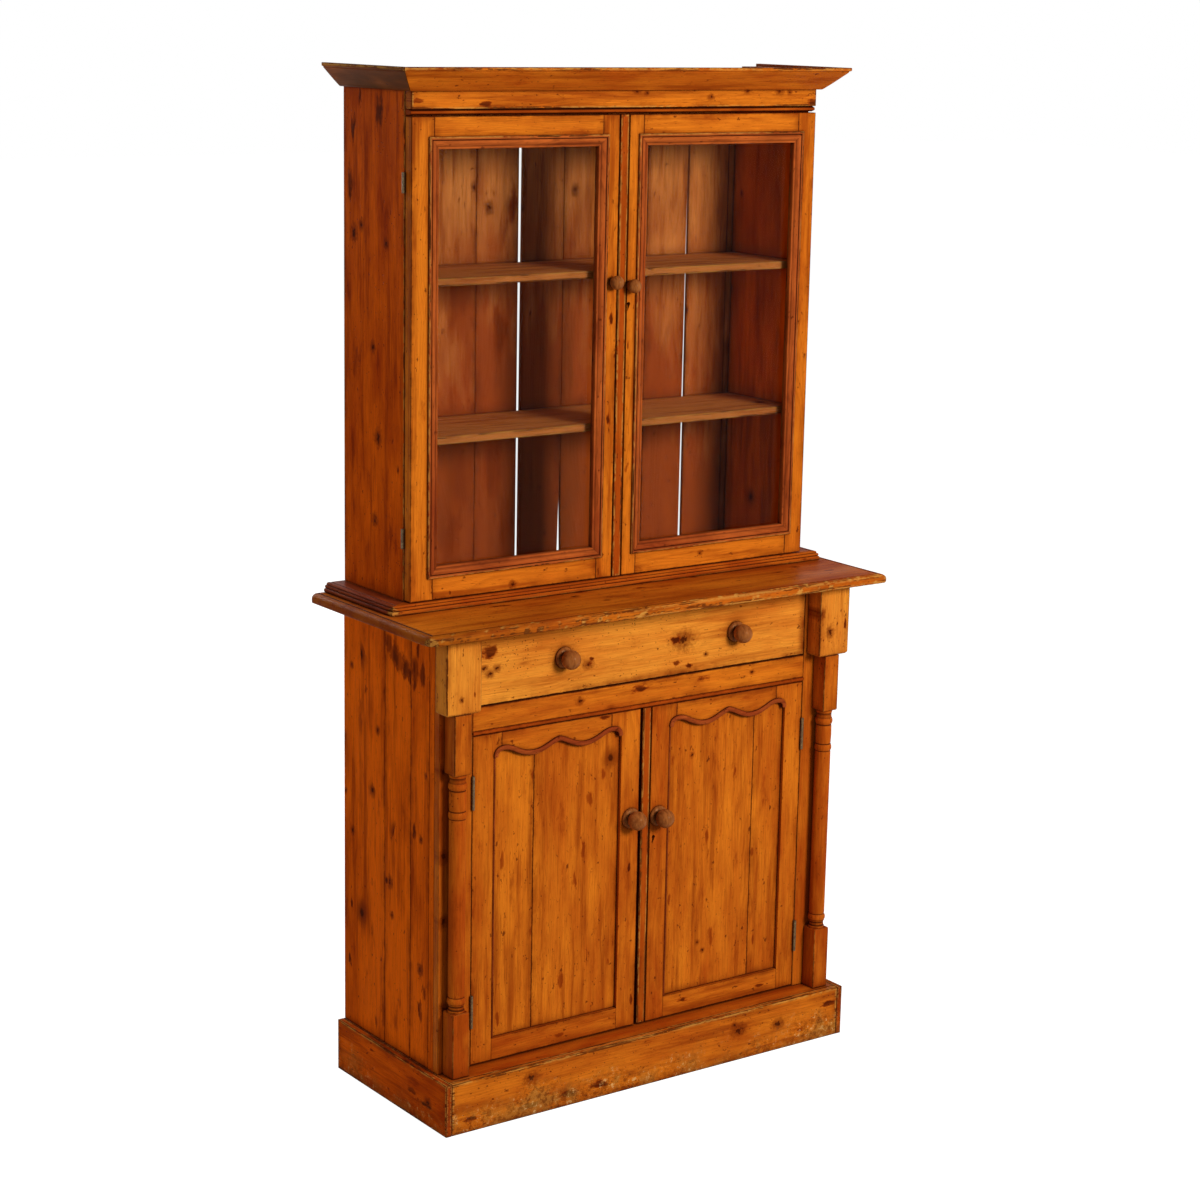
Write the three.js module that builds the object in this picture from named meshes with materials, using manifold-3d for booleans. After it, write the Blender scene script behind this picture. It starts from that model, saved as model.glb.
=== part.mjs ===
// Step back cupboard in old pine: a shallow glazed case standing on a deeper case with a drawer,
// two panelled doors and a turned column at each front corner.
// Millimetres, +Z up, the front faces -Y. The origin is on the floor, under the middle of the whole box.

import * as THREE from 'three';
import { mergeVertices } from 'three/addons/utils/BufferGeometryUtils.js';
import Module from 'manifold-3d';

const wasm = await Module();
wasm.setup();

// Whole piece
const totalHeight = 2100;
const seatGap = 0.2;
const cutOverrun = 5;
const roundSteps = 18;
const curveSteps = 6;

// Plinth
const plinthSideReach = 17;
const plinthFrontReach = 60.5;
const plinthHeight = 110;
const plinthBoard = 13.5;
const baseBoard = 18;

// Lower case
const lowerWidth = 1000;
const lowerDepth = 370;
const lowerHeight = 910.5;
const lowerSide = 18;
const lowerBack = 10;
const faceStileWidth = 77;
const faceStileThickness = 18;
const drawerBayHeight = 157.5;
const railHeight = 56.5;
const railThickness = 22;
const railBeadHeight = 8;
const railBeadProud = 3;

// Countertop
const counterSideReach = 75;
const counterFrontReach = 83.5;
const counterThickness = 20.5;
const counterEdgeRound = 5;
const counterEdgeShares = [
  [0, 0.6], [0.15, 0.1], [0.25, 0], [0.62, 0], [0.68, 0.3], [0.74, 0.2], [0.92, 0.6], [1, 1.2],
];

// Corner blocks beside the drawer
const blockWidth = 80;
const blockThickness = 42;
const blockHeight = 155.5;
const blockOverhang = 10;
const blockChamfer = 4;

// Columns under the blocks
const columnSquare = 39;
const columnInset = 11;
const columnTopBlock = 124;
const columnFootBlock = 137;
const columnShoulder = 4;
const columnNeck = 16;
const columnBead = 14.5;
const columnCollar = 45;
const columnRing = 16;
const neckRadius = 16;
const beadRadius = 18.5;
const collarRadius = 17;
const ringRadius = 18;
const shaftRadius = 17;

// Upper case
const upperSideStep = 1.5;
const upperDepth = 232;
const upperSide = 18;
const upperBack = 8;
const upperTopDrop = 10;
const floorThickness = 18;
const roofThickness = 16;
const roofDrop = 30;
const shelfThickness = 15.5;
const lowShelfShare = 0.328;
const highShelfShare = 0.6445;
const shelfSetback = 3;

// Back boards of the upper case, with the shrinkage gaps that show daylight
const plankPitch = 109;
const plankSeamOffset = 28;
const backGapWidth = 10.5;
const backGapFoot = 24;
const backGapHead = 45;
const sliverWidth = 9;
const sliverFoot = 34;
const shortSliver = 165;
const longSliver = 240;
const slivers = [{ seam: 0, height: shortSliver }, { seam: 3, height: longSliver }];

// Mouldings of the upper case
const waistHeight = 19.5;
const waistSideWidth = 48;
const waistFrontWidth = 33.5;
const waistOutlineShares = [
  [0, 0], [1, 0], [1, 0.5], [0.95, 0.58], [0.95, 0.68], [0.88, 0.88], [0.72, 1], [0, 1],
];
const crownHeight = 46;
const crownSideReach = 49;
const crownFrontReach = 54;
const crownOutlineShares = [
  [0, 0], [0.16, 0], [0.22, 0.05], [0.44, 0.27], [0.68, 0.53], [0.92, 0.79], [0.92, 0.83],
  [1, 0.86], [1, 1], [0.8, 1], [0.8, 0.87], [0, 0.87],
];
const friezeHeight = 34.5;
const friezeBeadHeight = 11.5;
const friezeBeadSetback = 3;
const friezeBeadShares = [[0, 0.05], [0.55, 0], [1, 0.3], [1, 0.7], [0.55, 1], [0, 0.95]];

// Upper doors, laid over the front of the upper case
const upperDoorThickness = 22.5;
const upperDoorGap = 2;
const upperLeafGap = 1.2;
const upperMeetingPlace = -8.5;
const upperMeetingGap = 3;
const upperSideMargin = 0.7;
const upperLeftOuterStile = 51;
const upperLeftClosingStile = 40;
const upperRightOuterStile = 45;
const upperRightClosingStile = 57;
const upperTopRail = 51;
const upperBottomRail = 56;
const glassThickness = 3;
const glassRebate = 6;
const glassDepth = 12;
const glazingWidth = 24;
const glazingLap = 13;
const glazingProud = 5;
const glazingFaceShares = [
  [0, 0], [0, 0.65], [0.12, 1], [0.27, 1], [0.33, 0.7], [0.42, 0.85], [0.62, 0.4], [0.8, 0.15],
];
const glazingInnerDrop = 3;

// Lower doors, hung between the face stiles
const lowerDoorThickness = 22;
const lowerDoorFootGap = 3.5;
const lowerDoorHeadGap = 2;
const lowerLeafGap = 1.2;
const lowerDoorSetback = 0.5;
const lowerMeetingPlace = -4;
const lowerMeetingGap = 3;
const lowerLeftOuterStile = 50;
const lowerLeftClosingStile = 51.5;
const lowerRightOuterStile = 45.5;
const lowerRightClosingStile = 67.5;
const lowerTopRail = 28;
const lowerBottomRail = 46;
const panelThickness = 8;
const panelRecess = 8;
const panelRebate = 8;
const scallopDepth = 21;
const scallopCurveShares = [
  [0, -1], [0, -0.3], [0.03, 0], [0.085, 0],
  [0.15, 0], [0.2, -0.95], [0.3, -0.95],
  [0.38, -0.95], [0.43, -0.2], [0.5, 0],
];
const trimWidth = 8;
const trimProud = 4;
const trimOutlineShares = [[0, 0], [1, 0], [1, 0.68], [0.85, 0.92], [0.5, 1], [0.15, 0.92], [0, 0.68]];

// Flush bead and keyhole of the right-hand doors
const quirkWidth = 3;
const quirkDepth = 2.5;
const beadWidth = 20;
const keyholeRadius = 4;
const keyholeSlot = 5.6;
const keyholeLength = 19;
const keyholeDepth = 12;
const upperKeyholeInset = 27;
const upperKeyholeDrop = 37.4;
const lowerKeyholeInset = 32.5;
const lowerKeyholeDrop = 44.8;

// Drawer
const drawerFrontThickness = 20;
const drawerFrontGap = 2.5;
const drawerEndGap = 1.2;
const drawerLength = 320;
const drawerBoard = 12;
const drawerSideHeight = 125;
const drawerSideInset = 2;
const drawerBottomThickness = 7;
const drawerBottomLift = 8;
const drawerBackHeight = 105;
const runnerGap = 0.5;
const runnerWidth = 76;
const runnerThickness = 20;
const guideHeight = 26;
const guideGap = 1;

// Knobs and their places
const bigKnob = { flange: 21.5, flangeThickness: 7, neck: 10, ball: 20, reach: 45.5 };
const smallKnob = { flange: 9, flangeThickness: 3, neck: 6, ball: 14.5, reach: 31 };
const knobFlangeShares = [[0.82, 0], [1, 0.3], [1, 0.6], [0.8, 1]];
const drawerKnobSpacing = 439;
const drawerKnobShift = 13.8;
const drawerKnobDrop = 3;
const upperLeftKnobShare = 0.6466;
const upperLeftKnobInset = 12;
const upperRightKnobShare = 0.6374;
const upperRightKnobInset = 29;
const lowerLeftKnobShare = 0.665;
const lowerLeftKnobInset = 25.7;
const lowerRightKnobShare = 0.6553;
const lowerRightKnobInset = 42.9;

// Hinges
const barrelRadius = 3.2;
const barrelClearance = 0.2;
const leafThickness = 0.8;
const leafReach = 18;
const upperHingeLength = 40;
const upperHingeInset = 105;
const lowerHingeLength = 70;
const lowerHingeInset = 80;

// Finishes
const frontPine = { color: 0xc8742a, roughness: 0.55, metalness: 0 };
const darkPine = { color: 0x8a4718, roughness: 0.6, metalness: 0 };
const drawerPine = { color: 0xd28a34, roughness: 0.55, metalness: 0 };
const redTrim = { color: 0x7c3b22, roughness: 0.4, metalness: 0 };
const innerPine = { color: 0x6d3c1c, roughness: 0.7, metalness: 0 };
const knobWood = { color: 0x7a4226, roughness: 0.35, metalness: 0 };
const paneGlass = { color: 0xaeb6b0, roughness: 0.05, metalness: 0, transparent: true, opacity: 0.35 };
const oldSteel = { color: 0x5a5248, roughness: 0.5, metalness: 0.9 };

// Levels and planes that several pieces share
const plinthWidth = lowerWidth + 2 * plinthSideReach;
const plinthDepth = lowerDepth + plinthFrontReach;
const counterWidth = lowerWidth + 2 * counterSideReach;
const counterDepth = lowerDepth + counterFrontReach;
const upperWidth = lowerWidth - 2 * upperSideStep;
const counterUnderside = plinthHeight + lowerHeight;
const counterTop = counterUnderside + counterThickness;
const waistTop = counterTop + waistHeight;
const railTop = counterUnderside - drawerBayHeight;
const railFoot = railTop - railHeight;
const blockFoot = counterUnderside - blockHeight;
const crownFoot = totalHeight - crownHeight;
const friezeFoot = crownFoot - friezeHeight;
const beadFoot = friezeFoot - friezeBeadHeight;
const upperCaseTop = totalHeight - upperTopDrop;
const upperDoorBack = upperDepth + upperLeafGap;
const upperDoorFront = upperDoorBack + upperDoorThickness;
const bayHalf = lowerWidth / 2 - faceStileWidth;
const sides = [{ word: 'left', sign: -1 }, { word: 'right', sign: 1 }];

// Shape helpers

function addPiece(group, name, geometry, look) {
  const mesh = new THREE.Mesh(geometry, new THREE.MeshStandardMaterial(look));
  mesh.name = name;
  group.add(mesh);
  return mesh;
}

function board(x, y, z) {
  const geometry = new THREE.BoxGeometry(x[1] - x[0], y[1] - y[0], z[1] - z[0]);
  geometry.translate((x[0] + x[1]) / 2, (y[0] + y[1]) / 2, (z[0] + z[1]) / 2);
  return geometry;
}

function onSide(sign, inner, outer) {
  return sign > 0 ? [inner, outer] : [-outer, -inner];
}

function scaled(shares, across, up) {
  return shares.map(([a, b]) => new THREE.Vector2(a * across, b * up));
}

function signedVolume(points, faces) {
  let sum = 0;
  for (const [a, b, c] of faces) {
    sum += points[a].dot(new THREE.Vector3().crossVectors(points[b], points[c]));
  }
  return sum;
}

// Skins a row of rings of points. With an outline the row is open and its two ends are capped;
// without one the last ring joins the first.
function skin(rings, outline) {
  const count = rings[0].length;
  const points = rings.flat();
  const faces = [];
  const spans = outline ? rings.length - 1 : rings.length;
  for (let i = 0; i < spans; i += 1) {
    const near = i * count;
    const far = ((i + 1) % rings.length) * count;
    for (let j = 0; j < count; j += 1) {
      const k = (j + 1) % count;
      faces.push([near + j, far + j, far + k], [near + j, far + k, near + k]);
    }
  }
  if (outline) {
    const last = (rings.length - 1) * count;
    const turn = Math.sign(THREE.ShapeUtils.area(outline));
    for (const [a, b, c] of THREE.ShapeUtils.triangulateShape(outline, [])) {
      const same = Math.sign(THREE.ShapeUtils.area([outline[a], outline[b], outline[c]])) === turn;
      const [p, q, r] = same ? [a, b, c] : [a, c, b];
      faces.push([p, q, r], [last + r, last + q, last + p]);
    }
  }
  const outward = signedVolume(points, faces) > 0;
  const index = faces.flatMap(([a, b, c]) => (outward ? [a, b, c] : [a, c, b]));
  const geometry = new THREE.BufferGeometry();
  const values = points.flatMap((p) => [p.x, p.y, p.z]);
  geometry.setAttribute('position', new THREE.Float32BufferAttribute(values, 3));
  geometry.setIndex(index);
  geometry.computeVertexNormals();
  return geometry;
}

// A straight piece with one outline all along; place puts an outline point at one of the two ends.
function prism(outline, ends, place) {
  return skin(ends.map((end) => outline.map((p) => place(p, end))), outline);
}

// A slab whose front and two ends are moulded: each ring is drawn in by its own inset.
function mouldedSlab(x, y, rings) {
  const loops = rings.map(({ inset, z }) => [
    new THREE.Vector3(x[0] + inset, y[0] + inset, z),
    new THREE.Vector3(x[1] - inset, y[0] + inset, z),
    new THREE.Vector3(x[1] - inset, y[1], z),
    new THREE.Vector3(x[0] + inset, y[1], z),
  ]);
  return skin(loops, loops[0].map((p) => new THREE.Vector2(p.x, p.y)));
}

function toSolid(geometry) {
  const bare = geometry.clone();
  bare.deleteAttribute('normal');
  bare.deleteAttribute('uv');
  const merged = mergeVertices(bare);
  return new wasm.Manifold(new wasm.Mesh({
    numProp: 3,
    vertProperties: new Float32Array(merged.attributes.position.array),
    triVerts: new Uint32Array(merged.index.array),
  }));
}

function toGeometry(solid) {
  const mesh = solid.getMesh();
  const geometry = new THREE.BufferGeometry();
  geometry.setAttribute('position', new THREE.Float32BufferAttribute(mesh.vertProperties, 3));
  geometry.setIndex(new THREE.BufferAttribute(new Uint32Array(mesh.triVerts), 1));
  geometry.computeVertexNormals();
  return geometry;
}

function cutAway(geometry, cutters) {
  const solid = cutters.reduce((body, cutter) => body.subtract(toSolid(cutter)), toSolid(geometry));
  return toGeometry(solid);
}

function joined(geometries) {
  const [first, ...rest] = geometries.map(toSolid);
  return toGeometry(rest.reduce((body, next) => body.add(next), first));
}

// Extrudes a shape drawn in the X-Z plane of a door towards the back, from one depth to another.
function throughDoor(shape, from, to) {
  const geometry = new THREE.ExtrudeGeometry(shape, {
    depth: to - from,
    bevelEnabled: false,
    curveSegments: curveSteps,
  });
  geometry.rotateX(Math.PI / 2);
  geometry.translate(0, to, 0);
  return geometry;
}

// Plinth, base board and lower case

function buildPlinth(group) {
  const half = plinthWidth / 2;
  const innerHalf = half - plinthBoard;
  for (const { word, sign } of sides) {
    const x = onSide(sign, innerHalf, half);
    addPiece(group, `plinth_${word}`, board(x, [-plinthDepth, 0], [0, plinthHeight]), darkPine);
  }
  const between = innerHalf - seatGap;
  const frontBack = -plinthDepth + plinthBoard;
  const front = board([-between, between], [-plinthDepth, frontBack], [0, plinthHeight]);
  addPiece(group, 'plinth_front', front, frontPine);
  const baseFront = frontBack + seatGap;
  const base = board([-between, between], [baseFront, 0], [plinthHeight - baseBoard, plinthHeight]);
  addPiece(group, 'base_board', base, frontPine);
}

function buildLowerCarcass(group) {
  const half = lowerWidth / 2;
  const foot = plinthHeight + seatGap;
  const head = counterUnderside - seatGap;
  const faceBack = -lowerDepth + faceStileThickness;
  for (const { word, sign } of sides) {
    const side = board(onSide(sign, half - lowerSide, half), [faceBack + seatGap, 0], [foot, head]);
    addPiece(group, `lower_side_${word}`, side, darkPine);
    const stile = board(onSide(sign, bayHalf, half), [-lowerDepth, faceBack], [foot, head]);
    addPiece(group, `face_stile_${word}`, stile, frontPine);
  }
  const inner = half - lowerSide - seatGap;
  addPiece(group, 'lower_back', board([-inner, inner], [-lowerBack, 0], [foot, head]), innerPine);
}

// Rail between the doors and the drawer, with a proud half-round bead along its foot.
function buildDrawerRail(group) {
  const outline = [
    new THREE.Vector2(-railThickness, railTop),
    new THREE.Vector2(0, railTop),
    new THREE.Vector2(0, railFoot + railBeadHeight),
  ];
  for (let i = 1; i < curveSteps; i += 1) {
    const angle = Math.PI / 2 - (Math.PI * i) / curveSteps;
    outline.push(new THREE.Vector2(
      railBeadProud * Math.cos(angle),
      railFoot + (railBeadHeight / 2) * (1 + Math.sin(angle)),
    ));
  }
  outline.push(new THREE.Vector2(0, railFoot), new THREE.Vector2(-railThickness, railFoot));
  const half = bayHalf - seatGap;
  const place = (p, x) => new THREE.Vector3(x, -lowerDepth - p.x, p.y);
  addPiece(group, 'drawer_rail', prism(outline, [-half, half], place), frontPine);
}

// Each runner is a ledge under the drawer's side with a guide standing beside it.
function buildRunners(group) {
  const wall = lowerWidth / 2 - lowerSide - seatGap;
  const guide = bayHalf - drawerEndGap - drawerSideInset + guideGap;
  const foot = railTop - runnerThickness;
  const outline = [
    [wall - runnerWidth, foot], [wall, foot], [wall, railTop + guideHeight],
    [guide, railTop + guideHeight], [guide, railTop], [wall - runnerWidth, railTop],
  ].map(([x, z]) => new THREE.Vector2(x, z));
  const ends = [-lowerDepth + railThickness + seatGap, -lowerBack - seatGap];
  for (const { word, sign } of sides) {
    const place = (p, y) => new THREE.Vector3(sign * p.x, y, p.y);
    addPiece(group, `drawer_runner_${word}`, prism(outline, ends, place), innerPine);
  }
}

function buildCountertop(group) {
  const half = counterWidth / 2;
  const rings = counterEdgeShares.map(([up, into]) => ({
    inset: into * counterEdgeRound,
    z: counterUnderside + up * counterThickness,
  }));
  addPiece(group, 'countertop', mouldedSlab([-half, half], [-counterDepth, 0], rings), frontPine);
}

function buildCornerBlocks(group) {
  const outer = lowerWidth / 2 + blockOverhang;
  const back = -lowerDepth - seatGap;
  const head = counterUnderside - seatGap;
  const rings = [
    { inset: blockChamfer, z: blockFoot },
    { inset: 0, z: blockFoot + blockChamfer },
    { inset: 0, z: head },
  ];
  for (const { word, sign } of sides) {
    const x = onSide(sign, outer - blockWidth, outer);
    const block = mouldedSlab(x, [back - blockThickness, back], rings);
    addPiece(group, `corner_block_${word}`, block, drawerPine);
  }
}

// A square block on the column's axis with its shoulders chamfered at the turned end.
function columnBlock(foot, head, shoulderAtHead) {
  const half = columnSquare / 2;
  const narrow = half - columnShoulder;
  const levels = shoulderAtHead
    ? [[half, foot], [half, head - columnShoulder], [narrow, head]]
    : [[narrow, foot], [half, foot + columnShoulder], [half, head]];
  const loops = levels.map(([reach, z]) => [
    new THREE.Vector3(-reach, -reach, z),
    new THREE.Vector3(reach, -reach, z),
    new THREE.Vector3(reach, reach, z),
    new THREE.Vector3(-reach, reach, z),
  ]);
  return skin(loops, loops[0].map((p) => new THREE.Vector2(p.x, p.y)));
}

function halfRound(radius, proud, foot, head) {
  const points = [];
  for (let i = 0; i <= curveSteps; i += 1) {
    const angle = (Math.PI * i) / curveSteps;
    const middle = (foot + head) / 2;
    points.push([radius + proud * Math.sin(angle), middle - ((head - foot) / 2) * Math.cos(angle)]);
  }
  return points;
}

function turnedProfile(foot, head) {
  const lowBeadFoot = foot + columnNeck;
  const lowBeadHead = lowBeadFoot + columnBead;
  const beadHead = head - columnNeck;
  const beadFoot = beadHead - columnBead;
  const ringHead = beadFoot - columnCollar;
  const ringFoot = ringHead - columnRing;
  return [
    [0, foot - cutOverrun], [neckRadius, foot - cutOverrun],
    ...halfRound(neckRadius, beadRadius - neckRadius, lowBeadFoot, lowBeadHead),
    [shaftRadius, lowBeadHead + columnShoulder], [shaftRadius, ringFoot],
    ...halfRound(shaftRadius, ringRadius - shaftRadius, ringFoot, ringHead),
    [collarRadius, (ringHead + beadFoot) / 2],
    ...halfRound(neckRadius, beadRadius - neckRadius, beadFoot, beadHead),
    [neckRadius, head + cutOverrun], [0, head + cutOverrun],
  ].map(([radius, z]) => new THREE.Vector2(radius, z));
}

function buildColumns(group) {
  const foot = plinthHeight + seatGap;
  const head = blockFoot - seatGap;
  const turnFoot = foot + columnFootBlock;
  const turnHead = head - columnTopBlock;
  const turned = new THREE.LatheGeometry(turnedProfile(turnFoot, turnHead), roundSteps);
  turned.rotateX(Math.PI / 2);
  const geometry = joined([
    columnBlock(foot, turnFoot, true),
    turned,
    columnBlock(turnHead, head, false),
  ]);
  for (const { word, sign } of sides) {
    const mesh = addPiece(group, `column_${word}`, geometry.clone(), frontPine);
    const middle = lowerWidth / 2 - columnInset - columnSquare / 2;
    mesh.position.set(sign * middle, -lowerDepth - seatGap - columnSquare / 2, 0);
  }
}

// Upper case

function buildUpperCarcass(group) {
  const half = upperWidth / 2;
  const foot = counterTop + seatGap;
  for (const { word, sign } of sides) {
    const x = onSide(sign, half - upperSide, half);
    addPiece(group, `upper_side_${word}`, board(x, [-upperDepth, 0], [foot, upperCaseTop]), darkPine);
  }
  const inner = half - upperSide - seatGap;
  const across = [-inner, inner];
  const deep = [-upperDepth, -upperBack - seatGap];
  const floorTop = foot + floorThickness;
  const roofHead = upperCaseTop - roofDrop;
  const roofFoot = roofHead - roofThickness;
  addPiece(group, 'upper_floor', board(across, deep, [foot, floorTop]), innerPine);
  addPiece(group, 'upper_roof', board(across, deep, [roofFoot, roofHead]), innerPine);
  const shelfDeep = [-upperDepth + shelfSetback, deep[1]];
  const shelves = [
    { name: 'shelf_low', share: lowShelfShare },
    { name: 'shelf_high', share: highShelfShare },
  ];
  for (const { name, share } of shelves) {
    const head = floorTop + share * (roofFoot - floorTop);
    addPiece(group, name, board(across, shelfDeep, [head - shelfThickness, head]), innerPine);
  }
}

function buildUpperBack(group) {
  const inner = upperWidth / 2 - upperSide - seatGap;
  const foot = counterTop + seatGap;
  const through = [-upperBack - cutOverrun, cutOverrun];
  const seamAt = (seam) => plankSeamOffset + seam * plankPitch;
  const gapX = [seamAt(-1) - backGapWidth / 2, seamAt(-1) + backGapWidth / 2];
  const cutters = [board(gapX, through, [counterTop + backGapFoot, upperCaseTop - backGapHead])];
  for (const sliver of slivers) {
    const x = [seamAt(sliver.seam) - sliverWidth / 2, seamAt(sliver.seam) + sliverWidth / 2];
    const sliverBase = counterTop + sliverFoot;
    cutters.push(board(x, through, [sliverBase, sliverBase + sliver.height]));
  }
  const whole = board([-inner, inner], [-upperBack, 0], [foot, upperCaseTop]);
  addPiece(group, 'upper_back', cutAway(whole, cutters), innerPine);
}

// The frieze board with the small rounded strip under its lower edge.
function buildFrieze(group) {
  const back = upperDepth + seatGap;
  const depth = upperDoorFront - back;
  const strip = scaled(friezeBeadShares, depth - friezeBeadSetback, friezeBeadHeight);
  const outline = [
    ...strip.map((p) => new THREE.Vector2(p.x, beadFoot + p.y)).slice(0, -1),
    new THREE.Vector2(depth - friezeBeadSetback, friezeFoot),
    new THREE.Vector2(depth, friezeFoot),
    new THREE.Vector2(depth, upperCaseTop),
    new THREE.Vector2(0, upperCaseTop),
  ];
  const half = upperWidth / 2 - upperSideMargin;
  const place = (p, x) => new THREE.Vector3(x, -back - p.x, p.y);
  addPiece(group, 'frieze', prism(outline, [-half, half], place), frontPine);
}

// Places a moulding's outline at the four ends and corners of a run round the front of the case.
function runAround(outline, sideReach, frontReach, half, front, foot) {
  const outAt = (p, sign) => sign * (half + p.x * sideReach);
  const frontAt = (p) => -(front + p.x * frontReach);
  return {
    backLeft: outline.map((p) => new THREE.Vector3(outAt(p, -1), 0, foot + p.y)),
    frontLeft: outline.map((p) => new THREE.Vector3(outAt(p, -1), frontAt(p), foot + p.y)),
    frontRight: outline.map((p) => new THREE.Vector3(outAt(p, 1), frontAt(p), foot + p.y)),
    backRight: outline.map((p) => new THREE.Vector3(outAt(p, 1), 0, foot + p.y)),
  };
}

function buildWaist(group) {
  const outline = scaled(waistOutlineShares, 1, waistHeight);
  const half = upperWidth / 2 + seatGap;
  const front = upperDepth + seatGap;
  const run = runAround(outline, waistSideWidth, waistFrontWidth, half, front, counterTop + seatGap);
  const rings = [run.backLeft, run.frontLeft, run.frontRight, run.backRight];
  addPiece(group, 'waist_moulding', skin(rings, outline), redTrim);
}

function buildCrown(group) {
  const outline = scaled(crownOutlineShares, 1, crownHeight);
  const half = upperWidth / 2 + seatGap;
  const front = upperDoorFront + seatGap;
  const run = runAround(outline, crownSideReach, crownFrontReach, half, front, crownFoot);
  const mitreGap = new THREE.Vector3(seatGap, -seatGap, 0);
  const frontRings = [
    run.frontLeft.map((p) => p.clone().add(mitreGap)),
    run.frontRight.map((p) => new THREE.Vector3(p.x - mitreGap.x, p.y + mitreGap.y, p.z)),
  ];
  addPiece(group, 'crown_front', skin(frontRings, outline), frontPine);
  addPiece(group, 'crown_left', skin([run.backLeft, run.frontLeft], outline), darkPine);
  addPiece(group, 'crown_right', skin([run.backRight, run.frontRight], outline), darkPine);
}

// Door parts, drawn from the foot of the door's left edge on its front face

function keyholeShape(x, z) {
  const shape = new THREE.Shape();
  const halfSlot = keyholeSlot / 2;
  const angle = Math.asin(halfSlot / keyholeRadius);
  const foot = z - keyholeLength + keyholeRadius;
  shape.moveTo(x + halfSlot, foot);
  shape.absarc(x, z, keyholeRadius, -Math.PI / 2 + angle, (3 * Math.PI) / 2 - angle, false);
  shape.lineTo(x - halfSlot, foot);
  shape.closePath();
  return shape;
}

function closingCuts(door) {
  if (!door.beaded) {
    return [];
  }
  const quirk = board(
    [beadWidth, beadWidth + quirkWidth],
    [-cutOverrun, quirkDepth],
    [-cutOverrun, door.height + cutOverrun],
  );
  const keyhole = throughDoor(keyholeShape(door.keyholeX, door.keyholeZ), -cutOverrun, keyholeDepth);
  return [quirk, keyhole];
}

function doorKnob(group, door, knob) {
  const mesh = addPiece(group, `${door.name}_knob`, knobGeometry(knob), knobWood);
  mesh.position.set(door.knobX, -seatGap, door.knobZ);
}

function knobGeometry(knob) {
  const centre = knob.reach - knob.ball;
  const points = [new THREE.Vector2(0, 0)];
  for (const [across, out] of knobFlangeShares) {
    points.push(new THREE.Vector2(across * knob.flange, out * knob.flangeThickness));
  }
  const start = Math.asin(knob.neck / knob.ball);
  for (let i = 0; i <= curveSteps + 1; i += 1) {
    const angle = start + ((Math.PI - start) * i) / (curveSteps + 1);
    const radius = i > curveSteps ? 0 : knob.ball * Math.sin(angle);
    points.push(new THREE.Vector2(radius, centre - knob.ball * Math.cos(angle)));
  }
  const geometry = new THREE.LatheGeometry(points, roundSteps);
  geometry.rotateX(Math.PI);
  return geometry;
}

// Upper doors

function buildUpperDoor(group, door) {
  const opening = {
    x: [door.leftStile, door.width - door.rightStile],
    z: [upperBottomRail, door.height - upperTopRail],
  };
  const grown = (span, by) => [span[0] - by, span[1] + by];
  const frame = cutAway(board([0, door.width], [0, upperDoorThickness], [0, door.height]), [
    board(opening.x, [-cutOverrun, upperDoorThickness + cutOverrun], opening.z),
    board(
      grown(opening.x, glassRebate),
      [glassDepth, upperDoorThickness + cutOverrun],
      grown(opening.z, glassRebate),
    ),
    ...closingCuts(door),
  ]);
  addPiece(group, `${door.name}_frame`, frame, frontPine);
  const pane = board(
    grown(opening.x, glassRebate - seatGap),
    [glassDepth + seatGap, glassDepth + seatGap + glassThickness],
    grown(opening.z, glassRebate - seatGap),
  );
  addPiece(group, `${door.name}_glass`, pane, paneGlass);
  addPiece(group, `${door.name}_glazing_moulding`, glazingMoulding(opening), redTrim);
  doorKnob(group, door, smallKnob);
}

// Mitred moulding that laps the frame's face and drops into the opening as far as the pane.
function glazingMoulding(opening) {
  const lap = glazingLap;
  const outline = [
    ...scaled(glazingFaceShares, glazingWidth, glazingProud),
    new THREE.Vector2(glazingWidth, -glazingInnerDrop),
    new THREE.Vector2(glazingWidth, -glassDepth + seatGap),
    new THREE.Vector2(lap + seatGap, -glassDepth + seatGap),
    new THREE.Vector2(lap + seatGap, 0),
  ];
  const corners = [[0, 0], [1, 0], [1, 1], [0, 1]];
  const rings = corners.map(([right, top]) => outline.map((p) => {
    const into = p.x - lap;
    const x = opening.x[right] + (right ? -into : into);
    const z = opening.z[top] + (top ? -into : into);
    return new THREE.Vector3(x, -seatGap - p.y, z);
  }));
  return skin(rings, null);
}

function buildUpperDoors(group) {
  const foot = waistTop + seatGap + upperDoorGap;
  const height = beadFoot - upperDoorGap - foot;
  const outer = upperWidth / 2 - upperSideMargin;
  const halfGap = upperMeetingGap / 2;
  const leftWidth = upperMeetingPlace - halfGap + outer;
  const rightEdge = upperMeetingPlace + halfGap;
  const doors = [
    {
      name: 'upper_left_door', x: -outer, width: leftWidth, beaded: false,
      leftStile: upperLeftOuterStile, rightStile: upperLeftClosingStile,
      knobX: leftWidth - upperLeftKnobInset, knobZ: upperLeftKnobShare * height,
    },
    {
      name: 'upper_right_door', x: rightEdge, width: outer - rightEdge, beaded: true,
      leftStile: upperRightClosingStile, rightStile: upperRightOuterStile,
      knobX: upperRightKnobInset, knobZ: upperRightKnobShare * height,
      keyholeX: upperKeyholeInset, keyholeZ: upperRightKnobShare * height - upperKeyholeDrop,
    },
  ];
  for (const door of doors) {
    const hung = new THREE.Group();
    hung.position.set(door.x, -upperDoorFront, foot);
    buildUpperDoor(hung, { ...door, height });
    group.add(hung);
  }
  buildHinges(group, 'upper', foot, height);
}

// Lower doors

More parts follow.
